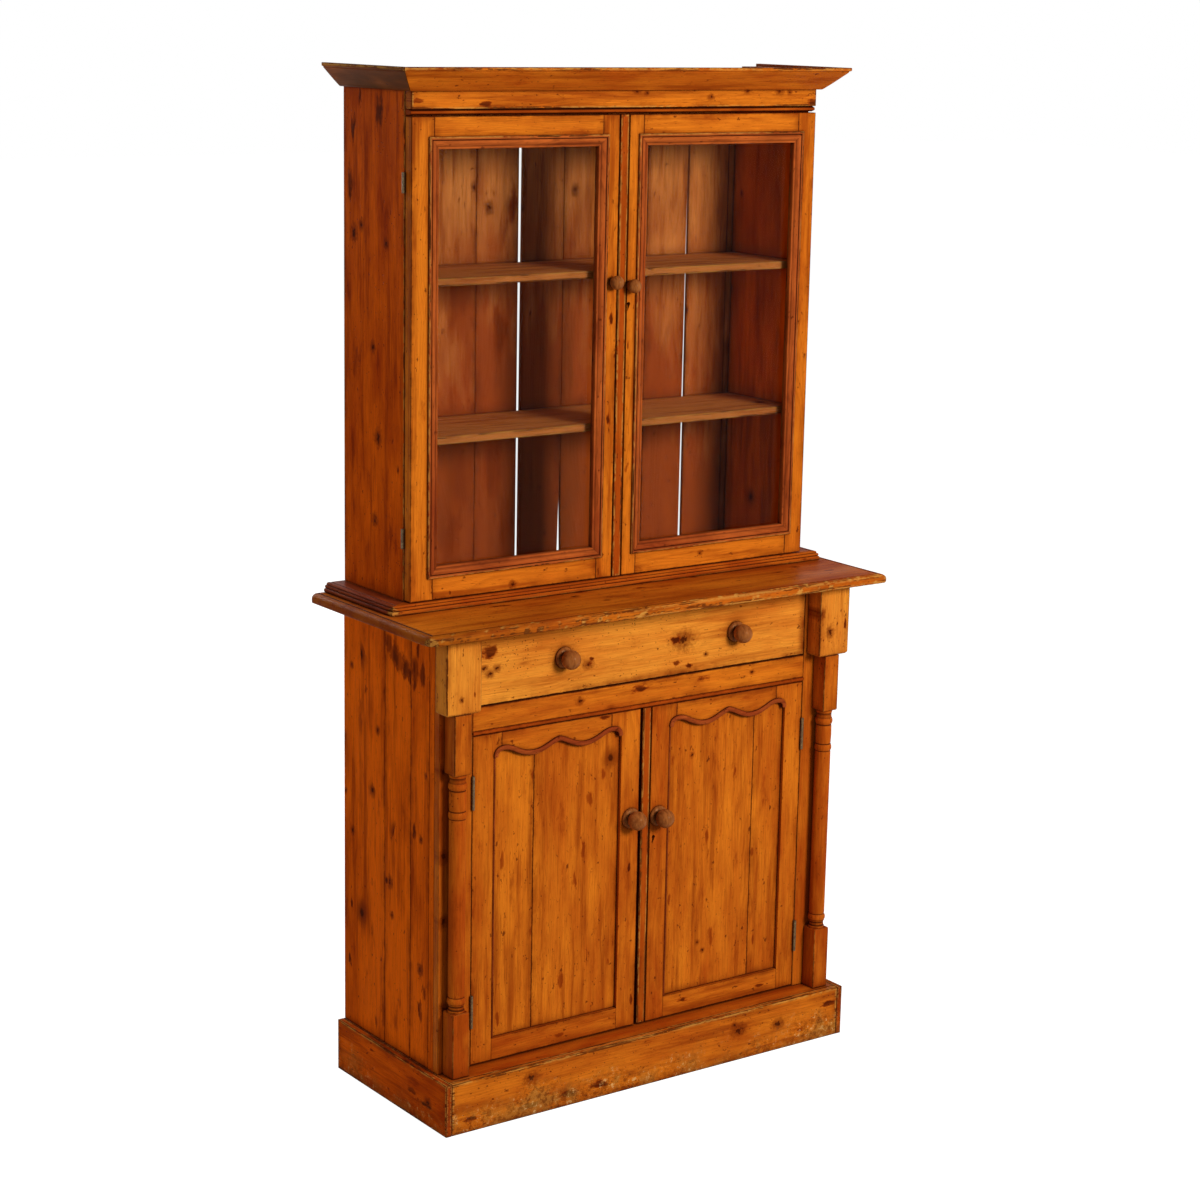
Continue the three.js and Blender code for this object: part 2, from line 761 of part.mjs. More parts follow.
// The scalloped head of the opening: half of it is three curves, and the other half mirrors them.
function scallopPoints(opening) {
  const width = opening.x[1] - opening.x[0];
  const share = scallopCurveShares.map(([a, b]) => new THREE.Vector2(a * width, b * scallopDepth));
  const half = [share[0].clone()];
  for (let i = 0; i + 3 < share.length; i += 3) {
    const curve = new THREE.CubicBezierCurve(share[i], share[i + 1], share[i + 2], share[i + 3]);
    half.push(...curve.getPoints(curveSteps).slice(1));
  }
  const mirrored = half.slice(0, -1).reverse().map((p) => new THREE.Vector2(width - p.x, p.y));
  const shift = new THREE.Vector2(opening.x[0], opening.z[1]);
  return [...half, ...mirrored].map((p) => p.clone().add(shift));
}

function scallopedOpening(opening) {
  const shape = new THREE.Shape();
  shape.moveTo(opening.x[1], opening.z[0]);
  shape.lineTo(opening.x[0], opening.z[0]);
  for (const p of scallopPoints(opening)) {
    shape.lineTo(p.x, p.y);
  }
  shape.closePath();
  return shape;
}

// Rounded strip planted inside the opening, all along its scalloped head.
function scallopTrim(opening) {
  const line = scallopPoints(opening);
  const depth = panelRecess + trimProud;
  const outline = scaled(trimOutlineShares, trimWidth, depth);
  const rings = line.map((point, i) => {
    const before = line[Math.max(i - 1, 0)];
    const after = line[Math.min(i + 1, line.length - 1)];
    const into = i > 0 ? point.clone().sub(before).normalize() : after.clone().sub(point).normalize();
    const out = i < line.length - 1 ? after.clone().sub(point).normalize() : into.clone();
    const along = into.clone().add(out).normalize();
    const inward = new THREE.Vector2(along.y, -along.x);
    const stretch = 1 / along.dot(out);
    return outline.map((p) => {
      const reach = (p.x + seatGap) * stretch;
      return new THREE.Vector3(
        point.x + inward.x * reach,
        panelRecess - p.y,
        point.y + inward.y * reach,
      );
    });
  });
  return skin(rings, outline);
}

function buildLowerDoor(group, door) {
  const opening = {
    x: [door.leftStile, door.width - door.rightStile],
    z: [lowerBottomRail, door.height - lowerTopRail],
  };
  const rebateX = [opening.x[0] - panelRebate, opening.x[1] + panelRebate];
  const rebateZ = [opening.z[0] - panelRebate, opening.z[1] + panelRebate];
  const through = lowerDoorThickness + cutOverrun;
  const frame = cutAway(board([0, door.width], [0, lowerDoorThickness], [0, door.height]), [
    throughDoor(scallopedOpening(opening), -cutOverrun, through),
    board(rebateX, [panelRecess, through], rebateZ),
    ...closingCuts(door),
  ]);
  addPiece(group, `${door.name}_frame`, frame, frontPine);
  const panelFront = panelRecess + seatGap;
  const panel = board(
    [rebateX[0] + seatGap, rebateX[1] - seatGap],
    [panelFront, panelFront + panelThickness],
    [rebateZ[0] + seatGap, rebateZ[1] - seatGap],
  );
  addPiece(group, `${door.name}_panel`, panel, frontPine);
  addPiece(group, `${door.name}_panel_moulding`, scallopTrim(opening), redTrim);
  doorKnob(group, door, bigKnob);
}

function buildLowerDoors(group) {
  const foot = plinthHeight + lowerDoorFootGap;
  const height = railFoot - lowerDoorHeadGap - foot;
  const outer = bayHalf - lowerLeafGap;
  const halfGap = lowerMeetingGap / 2;
  const leftWidth = lowerMeetingPlace - halfGap + outer;
  const rightEdge = lowerMeetingPlace + halfGap;
  const doors = [
    {
      name: 'lower_left_door', x: -outer, width: leftWidth, beaded: false,
      leftStile: lowerLeftOuterStile, rightStile: lowerLeftClosingStile,
      knobX: leftWidth - lowerLeftKnobInset, knobZ: lowerLeftKnobShare * height,
    },
    {
      name: 'lower_right_door', x: rightEdge, width: outer - rightEdge, beaded: true,
      leftStile: lowerRightClosingStile, rightStile: lowerRightOuterStile,
      knobX: lowerRightKnobInset, knobZ: lowerRightKnobShare * height,
      keyholeX: lowerKeyholeInset, keyholeZ: lowerRightKnobShare * height - lowerKeyholeDrop,
    },
  ];
  for (const door of doors) {
    const hung = new THREE.Group();
    hung.position.set(door.x, -lowerDepth + lowerDoorSetback, foot);
    buildLowerDoor(hung, { ...door, height });
    group.add(hung);
  }
  buildHinges(group, 'lower', foot, height);
}

// Hinges: a barrel with the leaf that stands in the gap between door and case

function hingeGeometry(length) {
  const shape = new THREE.Shape();
  const halfLeaf = leafThickness / 2;
  const angle = Math.asin(halfLeaf / barrelRadius);
  shape.moveTo(leafReach, halfLeaf);
  shape.absarc(0, 0, barrelRadius, angle, 2 * Math.PI - angle, false);
  shape.lineTo(leafReach, -halfLeaf);
  shape.closePath();
  return new THREE.ExtrudeGeometry(shape, {
    depth: length,
    bevelEnabled: false,
    curveSegments: 2 * curveSteps,
  });
}

function buildHinges(group, tier, doorFoot, doorHeight) {
  const upper = tier === 'upper';
  const length = upper ? upperHingeLength : lowerHingeLength;
  const inset = upper ? upperHingeInset : lowerHingeInset;
  const outset = barrelRadius + barrelClearance;
  const axisX = upper ? upperWidth / 2 + outset : bayHalf - lowerLeafGap / 2;
  const axisY = upper ? -(upperDepth + upperLeafGap / 2) : -(lowerDepth + outset);
  const places = [
    { word: 'bottom', z: doorFoot + inset },
    { word: 'top', z: doorFoot + doorHeight - inset - length },
  ];
  for (const { word: sideWord, sign } of sides) {
    for (const { word, z } of places) {
      const mesh = addPiece(group, `${tier}_${sideWord}_hinge_${word}`, hingeGeometry(length), oldSteel);
      mesh.position.set(sign * axisX, axisY, z);
      const acrossTurn = sign > 0 ? Math.PI : 0;
      mesh.rotation.z = upper ? acrossTurn : Math.PI / 2;
    }
  }
}

// Drawer

function buildDrawer(group) {
  const front = lowerDepth - lowerDoorSetback;
  const half = bayHalf - drawerEndGap;
  const foot = railTop + drawerFrontGap;
  const head = counterUnderside - drawerFrontGap;
  const backFace = -front + drawerFrontThickness;
  addPiece(group, 'drawer_front', board([-half, half], [-front, backFace], [foot, head]), drawerPine);
  const sideOuter = half - drawerSideInset;
  const sideInner = sideOuter - drawerBoard;
  const sideFoot = railTop + runnerGap;
  const sideY = [backFace + seatGap, backFace + drawerLength];
  const sideZ = [sideFoot, sideFoot + drawerSideHeight];
  for (const { word, sign } of sides) {
    const x = onSide(sign, sideInner, sideOuter);
    addPiece(group, `drawer_side_${word}`, board(x, sideY, sideZ), innerPine);
  }
  const between = sideInner - seatGap;
  const bottomFoot = sideFoot + drawerBottomLift;
  const bottomHead = bottomFoot + drawerBottomThickness;
  const across = [-between, between];
  addPiece(group, 'drawer_bottom', board(across, sideY, [bottomFoot, bottomHead]), innerPine);
  const backY = [sideY[1] - drawerBoard, sideY[1]];
  const backZ = [bottomHead + seatGap, bottomHead + drawerBackHeight];
  addPiece(group, 'drawer_back', board(across, backY, backZ), innerPine);
  for (const { word, sign } of sides) {
    const mesh = addPiece(group, `drawer_knob_${word}`, knobGeometry(bigKnob), knobWood);
    const x = drawerKnobShift + (sign * drawerKnobSpacing) / 2;
    mesh.position.set(x, -front - seatGap, (foot + head) / 2 - drawerKnobDrop);
  }
}

function buildCupboard() {
  const cupboard = new THREE.Group();
  const lower = new THREE.Group();
  const upper = new THREE.Group();
  cupboard.add(lower, upper);
  buildPlinth(lower);
  buildLowerCarcass(lower);
  buildDrawerRail(lower);
  buildRunners(lower);
  buildCountertop(lower);
  buildCornerBlocks(lower);
  buildColumns(lower);
  buildLowerDoors(lower);
  buildDrawer(lower);
  buildUpperCarcass(upper);
  buildUpperBack(upper);
  buildFrieze(upper);
  buildWaist(upper);
  buildCrown(upper);
  buildUpperDoors(upper);
  cupboard.position.y = counterDepth / 2;
  return cupboard;
}

export default buildCupboard();
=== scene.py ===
import math
import random

import bmesh
import bpy
from mathutils import Matrix, Vector, geometry, noise


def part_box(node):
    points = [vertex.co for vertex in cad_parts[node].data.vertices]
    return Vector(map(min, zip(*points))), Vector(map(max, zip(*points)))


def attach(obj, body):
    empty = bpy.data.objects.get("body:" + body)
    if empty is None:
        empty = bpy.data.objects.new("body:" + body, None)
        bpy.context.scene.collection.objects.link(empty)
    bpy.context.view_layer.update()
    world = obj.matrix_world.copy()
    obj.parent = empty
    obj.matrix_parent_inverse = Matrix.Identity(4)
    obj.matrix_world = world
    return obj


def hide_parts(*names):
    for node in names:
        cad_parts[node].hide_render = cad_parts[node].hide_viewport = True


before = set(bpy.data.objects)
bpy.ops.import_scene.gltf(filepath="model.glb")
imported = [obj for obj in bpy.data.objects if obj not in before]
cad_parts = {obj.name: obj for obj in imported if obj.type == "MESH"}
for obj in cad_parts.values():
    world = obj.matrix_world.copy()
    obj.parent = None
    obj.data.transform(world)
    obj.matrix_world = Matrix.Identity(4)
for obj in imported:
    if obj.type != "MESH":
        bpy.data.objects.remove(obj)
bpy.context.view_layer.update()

bl_info = {
    "name": "Step Back Cupboard",
    "version": (1, 0, 0),
    "blender": (4, 5, 0),
    "location": "3D View > Sidebar > Cupboard",
    "description": "Old pine step back cupboard built over its packed frame",
    "category": "Object",
}

X = Vector((1, 0, 0))
Y = Vector((0, 1, 0))
Z = Vector((0, 0, 1))
MM = 0.001
SENSOR = 36.0
PICTURE = 1200
KNOTS = 6
STAINS = 6
SIDES = ("left", "right")
# Points nearer than this are one point. A plane holds what lies nearer than this.
WELD = 0.00001
ON_PLANE = 0.000001
SMALL_ROUNDING = 0.0009
FRAME_ROUNDING = 0.0006
# Faces that meet at less than this are one face. A hollow this sharp gets all the painted shade.
FLAT_ANGLE = 0.02
SHARP_BEND = 0.55
# Distance from a board's face to the heart of its tree, and the widest board that a heart lies within
HEART_DEPTH = (0.02, 0.09)
HEART_WIDTH = 0.2
SEEDS = 9
# Keeps a shader from dividing by nothing
TINY = 0.00001


# Settings

class CupboardWood(bpy.types.PropertyGroup):
    """Colours and figure of the old pine."""

    golden: bpy.props.FloatVectorProperty(
        name="Golden", description="Lightest colour of the waxed pine",
        subtype="COLOR", size=3, min=0, max=1, default=(0.69, 0.176, 0.010))
    amber: bpy.props.FloatVectorProperty(
        name="Amber", description="Deeper colour of the waxed pine",
        subtype="COLOR", size=3, min=0, max=1, default=(0.40, 0.061, 0.004))
    latewood: bpy.props.FloatVectorProperty(
        name="Latewood", description="Dark lines of the yearly rings",
        subtype="COLOR", size=3, min=0, max=1, default=(0.20, 0.024, 0.002))
    flush: bpy.props.FloatVectorProperty(
        name="Flush", description="Red-brown rim of a stain",
        subtype="COLOR", size=3, min=0, max=1, default=(0.27, 0.034, 0.002))
    stain: bpy.props.FloatVectorProperty(
        name="Stain", description="Red-brown stains and knots",
        subtype="COLOR", size=3, min=0, max=1, default=(0.095, 0.012, 0.002))
    # This colour is old wax and dirt in joints and pits, and also painted shade in corners and hollows
    grime_and_shade: bpy.props.FloatVectorProperty(
        name="Grime", description="Old wax and dirt in joints and corners",
        subtype="COLOR", size=3, min=0, max=1, default=(0.042, 0.0062, 0.002))
    bare: bpy.props.FloatVectorProperty(
        name="Bare wood", description="Pale wood where an edge has lost its finish",
        subtype="COLOR", size=3, min=0, max=1, default=(0.66, 0.31, 0.055))
    ring_spacing: bpy.props.FloatProperty(
        name="Ring spacing", description="Distance from one yearly ring to the next",
        subtype="DISTANCE", unit="LENGTH", min=0.001, max=0.02, default=0.0042)
    rounding: bpy.props.FloatProperty(
        name="Rounding", description="Radius of a worn board edge",
        subtype="DISTANCE", unit="LENGTH", min=0.0002, max=0.004, default=0.0011)


class CupboardStage(bpy.types.PropertyGroup):
    """Lights, floor and camera."""

    key_power: bpy.props.FloatProperty(
        name="Key light", description="Power of the large lamp in front and to the right",
        subtype="POWER", unit="POWER", min=0, max=2000, default=190)
    fill_power: bpy.props.FloatProperty(
        name="Fill light", description="Power of the weak lamp on the left",
        subtype="POWER", unit="POWER", min=0, max=2000, default=26)
    back_power: bpy.props.FloatProperty(
        name="Back light", description="Power of the lamp behind",
        subtype="POWER", unit="POWER", min=0, max=2000, default=130)
    room_light: bpy.props.FloatProperty(
        name="Room light", description="Strength of the even light of the room",
        min=0, max=2, default=0.2)
    lens: bpy.props.FloatProperty(
        name="Lens", description="Focal length on a 36 mm wide sensor",
        subtype="DISTANCE_CAMERA", min=10, max=300, default=79.863)
    position: bpy.props.FloatVectorProperty(
        name="Camera place", description="Where the camera stands",
        subtype="TRANSLATION", unit="LENGTH", size=3, default=(-3.181, -4.39995, 2.2234))
    heading: bpy.props.FloatVectorProperty(
        name="Camera angles", description="Turn, downward tilt and roll of the camera",
        subtype="EULER", unit="ROTATION", size=3, default=(-0.6235, -0.2207, 0.0192))


# Node graph helper

class Graph:
    """Adds linked shader nodes to a tree with little writing."""

    def __init__(self, tree):
        self.tree = tree

    def node(self, kind, settings=None, **sockets):
        made = self.tree.nodes.new(kind)
        for key, value in (settings or {}).items():
            setattr(made, key, value)
        for key, value in sockets.items():
            self.put(made.inputs[key.replace("_", " ")], value)
        return made

    def put(self, socket, value):
        if isinstance(value, bpy.types.NodeSocket):
            self.tree.links.new(value, socket)
        elif value is not None:
            if hasattr(socket.default_value, "__len__") and not hasattr(value, "__len__"):
                value = [value] * len(socket.default_value)
            if hasattr(value, "__len__") and len(value) == 3 and socket.type == "RGBA":
                value = (*value, 1)
            socket.default_value = value

    def math(self, operation, a, b=None, c=None, clamp=False):
        made = self.tree.nodes.new("ShaderNodeMath")
        made.operation = operation
        made.use_clamp = clamp
        for socket, value in zip(made.inputs, (a, b, c)):
            self.put(socket, value)
        return made.outputs[0]

    def chain(self, operation, values):
        total = values[0]
        for value in values[1:]:
            total = self.math(operation, total, value)
        return total

    def plus(self, *values):
        return self.chain("ADD", values)

    def times(self, *values):
        return self.chain("MULTIPLY", values)

    def most(self, *values):
        return self.chain("MAXIMUM", values)

    def least(self, *values):
        return self.chain("MINIMUM", values)

    def minus(self, a, b):
        return self.math("SUBTRACT", a, b)

    def over(self, a, b):
        return self.math("DIVIDE", a, b)

    def vector(self, operation, a, b=None, c=None, scale=None):
        made = self.tree.nodes.new("ShaderNodeVectorMath")
        made.operation = operation
        for socket, value in zip(made.inputs, (a, b, c)):
            self.put(socket, value)
        if scale is not None:
            self.put(made.inputs["Scale"], scale)
        return made.outputs["Value" if operation in ("DOT_PRODUCT", "LENGTH") else "Vector"]

    def attribute(self, name, output="Vector"):
        return self.node("ShaderNodeAttribute", {"attribute_name": name}).outputs[output]

    def values(self, name):
        """The three numbers of a vector attribute."""
        return self.split(self.attribute(name))

    def object_point(self):
        return self.node("ShaderNodeTexCoord").outputs["Object"]

    def combine(self, x, y, z):
        return self.node("ShaderNodeCombineXYZ", X=x, Y=y, Z=z).outputs[0]

    def split(self, vector):
        return self.node("ShaderNodeSeparateXYZ", Vector=vector).outputs

    def noise(self, vector, scale=1.0, detail=2.0, roughness=0.5):
        return self.node("ShaderNodeTexNoise", Vector=vector, Scale=scale, Detail=detail,
                         Roughness=roughness).outputs["Fac"]

    def ramp(self, value, start, end, low=0.0, high=1.0, smooth=True):
        settings = {"interpolation_type": "SMOOTHSTEP" if smooth else "LINEAR", "clamp": True}
        made = self.node("ShaderNodeMapRange", settings, Value=value)
        for name, number in (("From Min", start), ("From Max", end), ("To Min", low), ("To Max", high)):
            self.put(made.inputs[name], number)
        return made.outputs["Result"]

    def mix(self, factor, a, b, blend="MIX"):
        made = self.node("ShaderNodeMix", {"data_type": "RGBA", "blend_type": blend})
        self.put(made.inputs[0], factor)
        self.put(made.inputs[6], a)
        self.put(made.inputs[7], b)
        return made.outputs[2]

    def coats(self, colour, *layers):
        """A colour with coats over it, each given as where it lies and its own colour."""
        for amount, coat in layers:
            colour = self.mix(amount, colour, coat)
        return colour

    def bumped(self, strength, distance, height, **sockets):
        """A shader whose surface follows a height."""
        bump = self.node("ShaderNodeBump", Strength=strength, Distance=distance, Height=height)
        return self.node("ShaderNodeBsdfPrincipled", Normal=bump.outputs[0], **sockets)

    def mixed(self, factor, a, b):
        made = self.node("ShaderNodeMixShader", Fac=factor)
        self.put(made.inputs[1], a.outputs[0])
        self.put(made.inputs[2], b.outputs[0])
        return made

    def surface(self, shader, kind="ShaderNodeOutputMaterial"):
        self.put(self.node(kind).inputs["Surface"], shader.outputs[0])

    def seen_straight(self):
        """One for what the camera sees, also in a reflection or through glass."""
        path = self.node("ShaderNodeLightPath").outputs
        return self.most(path["Is Camera Ray"], path["Is Glossy Ray"], path["Is Transmission Ray"])


def new_group(name, outputs, **inputs):
    """A group of nodes that takes and gives plain numbers."""
    tree = bpy.data.node_groups.new(name, "ShaderNodeTree")
    for label, default in inputs.items():
        socket = tree.interface.new_socket(name=label, in_out="INPUT", socket_type="NodeSocketFloat")
        socket.default_value = default
    for label in outputs:
        tree.interface.new_socket(name=label, in_out="OUTPUT", socket_type="NodeSocketFloat")
    source = tree.nodes.new("NodeGroupInput").outputs
    sink = tree.nodes.new("NodeGroupOutput").inputs
    return Graph(tree), source, sink


def board_position(g):
    """The point, and how far it lies across, through and along the grain from the board's middle."""
    point = g.object_point()
    grain = g.attribute("grain")
    width = g.attribute("width")
    through = g.vector("CROSS_PRODUCT", width, grain)
    middle = g.vector("SCALE", g.vector("ADD", g.attribute("low"), g.attribute("high")), scale=0.5)
    local = g.vector("SUBTRACT", point, middle)
    axes = [g.vector("DOT_PRODUCT", local, axis) for axis in (width, through, grain)]
    return point, axes


# Node groups of the wood

def make_knots():
    """Placed and scattered knots. Reach is the distance from the nearest one in knot radii."""
    g, _, sink = new_group("Pine Knots", ("Reach", "Size"))
    _, (across, _, along) = board_position(g)
    chances = g.values("figure")[2]
    seed = g.values("look")[0]
    cell = (0.11, 1.0, 0.27)
    shifted = g.combine(g.plus(across, g.times(seed, 3.7)), 0.5, g.plus(along, g.times(seed, 7.1)))
    warp = g.node("ShaderNodeTexNoise", Vector=shifted, Scale=130.0, Detail=3.0).outputs["Color"]
    off = g.vector("SUBTRACT", warp, (0.5, 0.5, 0.5))
    scaled = g.vector("DIVIDE", g.vector("MULTIPLY_ADD", off, (0.006, 0.0, 0.009), shifted), cell)
    voronoi = g.node("ShaderNodeTexVoronoi", {"feature": "F1"}, Vector=scaled, Scale=1.0, Randomness=0.8)
    away = g.vector("MULTIPLY", g.vector("SUBTRACT", scaled, voronoi.outputs["Position"]),
                    (cell[0], 0.0, cell[2] * 0.8))
    chance = g.split(voronoi.outputs["Color"])
    radius = g.ramp(chance[0], 0.0, 1.0, 0.002, 0.0085, smooth=False)
    radius = g.most(g.times(radius, g.math("LESS_THAN", chance[1], chances)), TINY)
    reach = g.over(g.vector("LENGTH", away), radius)
    for i in range(KNOTS):
        place = g.values(f"knot{i}")
        bend = g.vector("SCALE", off, scale=g.times(place[2], 4.0))
        gap = g.combine(g.minus(across, place[0]), 0.0, g.times(g.minus(along, place[1]), 0.75))
        flat = g.vector("MULTIPLY", g.vector("ADD", gap, bend), (1.0, 0.0, 1.0))
        size = g.most(place[2], TINY)
        own = g.over(g.vector("LENGTH", flat), size)
        nearer = g.math("LESS_THAN", own, reach)
        radius = g.plus(g.times(size, nearer), g.times(radius, g.minus(1.0, nearer)))
        reach = g.least(own, reach)
    g.put(sink["Reach"], reach)
    g.put(sink["Size"], radius)
    return g.tree


def make_figure():
    """Yearly rings, fibres, streaks and broad colour change of a sawn pine board."""
    names = ("Latewood", "Fibre", "Streak", "Patch", "Blotch", "Speck", "Dash", "Crack", "Along")
    g, source, sink = new_group("Pine Figure", names, Reach=1000.0, Size=0.0, Spacing=0.0042)
    _, (across, through, along) = board_position(g)
    figure = g.values("figure")
    seed = g.values("look")[0]
    drift = g.times(seed, 13.7)
    slow = g.node("ShaderNodeTexNoise", Vector=g.combine(drift, 0.0, g.times(along, 2.2)), Scale=1.0,
                  Detail=1.0).outputs["Color"]
    sway = g.split(g.vector("MULTIPLY", g.vector("SUBTRACT", slow, (0.5, 0.5, 0.5)), (0.07, 0.05, 0.0)))
    a = g.plus(g.minus(across, figure[0]), sway[0])
    b = g.plus(g.minus(through, figure[1]), sway[1])
    radius = g.vector("LENGTH", g.combine(a, b, 0.0))
    ripple = g.noise(g.combine(g.plus(g.times(across, 22.0), drift), g.times(through, 22.0),
                               g.times(along, 5.0)), 1.0, 2.0)
    radius = g.plus(radius, g.times(g.minus(ripple, 0.5), 0.011))
    radius = g.plus(radius, g.times(along, 0.012))
    reach = source["Reach"]
    pull = g.math("EXPONENT", g.times(reach, reach, -0.12))
    radius = g.plus(radius, g.times(source["Size"], pull, 2.2))
    phase = g.over(radius, source["Spacing"])
    vary = g.noise(g.combine(g.times(phase, 0.35), drift, 0.0), 1.0, 1.0)
    phase = g.plus(phase, g.times(vary, 1.6))
    turn = g.math("FRACT", phase)
    line = g.times(g.ramp(turn, 0.35, 0.86), g.ramp(turn, 1.0, 0.9))
    strong = g.noise(g.combine(g.math("FLOOR", phase), drift, 0.0), 0.73, 0.0)
    g.put(sink["Latewood"], g.times(line, g.ramp(strong, 0.3, 0.7, 0.25, 1.0)))

    def stretched(scale_across, scale_along, detail, shift, roughness=0.6):
        point = g.combine(g.math("MULTIPLY_ADD", across, scale_across, g.plus(drift, shift)),
                          g.times(through, scale_across), g.times(along, scale_along))
        return g.noise(point, 1.0, detail, roughness)

    g.put(sink["Along"], along)
    g.put(sink["Fibre"], stretched(620.0, 14.0, 2.0, 0.0))
    g.put(sink["Streak"], stretched(50.0, 3.4, 4.0, 5.0, 0.66))
    g.put(sink["Patch"], stretched(9.0, 2.6, 3.0, 11.0))
    g.put(sink["Blotch"], stretched(34.0, 9.0, 5.0, 29.0, 0.65))
    g.put(sink["Speck"], stretched(110.0, 60.0, 3.0, 17.0))
    g.put(sink["Dash"], stretched(900.0, 45.0, 1.0, 23.0))
    g.put(sink["Crack"], stretched(210.0, 9.0, 3.0, 31.0))
    return g.tree


def make_stains():
    """Dark stains placed on a board, soft and ragged along the grain."""
    g, _, sink = new_group("Board Stains", ("Amount",))
    _, (across, _, along) = board_position(g)
    seed = g.values("look")[0]
    stretch = g.values("lean")[1]
    point = g.combine(g.plus(across, seed), 0.0, g.times(along, stretch))
    ragged = g.noise(point, 60.0, 4.0, 0.65)
    total = None
    for i in range(STAINS):
        place = g.values(f"stain{i}")
        gap = g.combine(g.minus(across, place[0]), 0.0, g.times(g.minus(along, place[1]), stretch))
        size = g.most(place[2], TINY)
        jag = g.times(g.ramp(ragged, 0.3, 0.7, -0.7, 0.7), g.ramp(size, 0.006, 0.022, 1.0, 0.35))
        near = g.plus(g.over(g.vector("LENGTH", gap), size), jag)
        one = g.times(g.ramp(near, 1.15, 0.3), g.ramp(size, 0.015, 0.04, 1.0, 0.62))
        total = one if total is None else g.most(total, one)
    g.put(sink["Amount"], total)
    return g.tree


def make_wear():
    """Dark lines along joints, pale worn edges and pits, by the distance from a board's edges."""
    names = ("Joint", "Shading", "Worn", "Pit", "End", "Scuff", "Smut", "Wash")
    g, source, sink = new_group("Board Wear", names, Line=0.0022, Shade=0.02)
    point, (across, thick, along) = board_position(g)
    look = g.values("look")
    finish = g.values("finish")
    low = g.attribute("low")
    high = g.attribute("high")
    inner = g.vector("MINIMUM", g.vector("SUBTRACT", point, low), g.vector("SUBTRACT", high, point))
    near = g.split(g.vector("MAXIMUM", inner, (0.0, 0.0, 0.0)))
    least = g.least(near[0], near[1], near[2])
    most = g.most(near[0], near[1], near[2])
    total = g.plus(near[0], near[1], near[2])
    edge = g.minus(g.minus(total, least), most)
    shifted = g.vector("ADD", point, g.combine(look[0], 0.0, 0.0))
    rough = g.noise(shifted, 55.0, 4.0, 0.65)
    slow = g.noise(shifted, 17.0, 4.0, 0.7)
    coarse = g.noise(shifted, 9.0, 3.0, 0.6)
    width = g.times(source["Line"], g.ramp(rough, 0.3, 0.75, 0.6, 1.4))
    joint = g.times(g.ramp(g.over(edge, width), 1.0, 0.25), finish[1])
    g.put(sink["Joint"], g.times(joint, g.ramp(coarse, 0.25, 0.55, 0.5, 1.0)))
    shading = g.ramp(g.over(edge, source["Shade"]), 1.0, 0.0)
    shading = g.times(shading, g.ramp(g.plus(coarse, g.times(rough, 0.3)), 0.5, 0.85))
    g.put(sink["Shading"], g.times(shading, finish[1]))
    worn = g.ramp(g.over(edge, g.times(look[2], 0.011)), 1.0, 0.2)
    streaked = g.combine(g.plus(across, look[0]), thick, g.times(along, 0.3))
    splinter = g.noise(streaked, 260.0, 3.0, 0.6)
    ragged = g.math("MULTIPLY_ADD", splinter, 0.6, g.times(slow, 0.55))
    g.put(sink["Worn"], g.times(worn, g.ramp(ragged, 0.48, 0.62)))
    cells = g.node("ShaderNodeTexVoronoi", {"feature": "F1"}, Vector=shifted, Scale=150.0).outputs
    chance = g.split(cells["Color"])[0]
    strewn = g.times(g.math("GREATER_THAN", chance, g.minus(0.97, finish[0])), g.ramp(coarse, 0.42, 0.6))
    nest = g.values("nest")
    gap = g.combine(g.minus(across, nest[0]), 0.0, g.minus(along, nest[1]))
    inside = g.over(g.vector("LENGTH", gap), g.most(nest[2], TINY))
    crowded = g.times(g.math("GREATER_THAN", chance, 0.2), g.ramp(inside, 1.1, 0.7))
    g.put(sink["Pit"], g.times(g.ramp(cells["Distance"], 0.26, 0.12), g.most(strewn, crowded)))
    extent = g.vector("SUBTRACT", high, low)
    length = g.math("ABSOLUTE", g.vector("DOT_PRODUCT", extent, g.attribute("grain")))
    from_end = g.minus(g.times(length, 0.5), g.math("ABSOLUTE", along))
    g.put(sink["End"], g.ramp(from_end, 0.0009, 0.0003))
    scuff = g.noise(shifted, 75.0, 6.0, 0.8)
    floor = g.plus(g.noise(shifted, 8.0, 4.0), g.times(g.split(point)[2], -4.0))
    low_down = g.times(g.ramp(floor, 0.2, 0.5), finish[2])
    g.put(sink["Scuff"], g.times(g.ramp(scuff, 0.57, 0.62), low_down))
    g.put(sink["Smut"], g.times(g.ramp(scuff, 0.49, 0.43), low_down))
    g.put(sink["Wash"], g.times(g.ramp(slow, 0.42, 0.6), low_down))
    return g.tree


GROUPS = {}


def groups():
    if not GROUPS:
        GROUPS["knots"] = make_knots()
        GROUPS["figure"] = make_figure()
        GROUPS["stains"] = make_stains()
        GROUPS["wear"] = make_wear()
    return GROUPS


# Materials

def cleared(data):
    """A material or world with an empty graph."""
    data.use_nodes = True
    data.node_tree.nodes.clear()
    return data, Graph(data.node_tree)


def group_of(g, name, **sockets):
    return g.node("ShaderNodeGroup", {"node_tree": groups()[name]}, **sockets).outputs


def crevice(g, samples, distance):
    """Ambient occlusion: one in the open, less in a corner."""
    return g.node("ShaderNodeAmbientOcclusion", {"samples": samples}, Distance=distance).outputs["AO"]


def deeper(colour, share):
    return [c * share for c in colour]


def wax_gloss(g, shader, amount):
    g.put(shader.inputs["Specular IOR Level"], amount)
    g.put(shader.inputs["Specular Tint"], (1.0, 0.66, 0.36, 1))


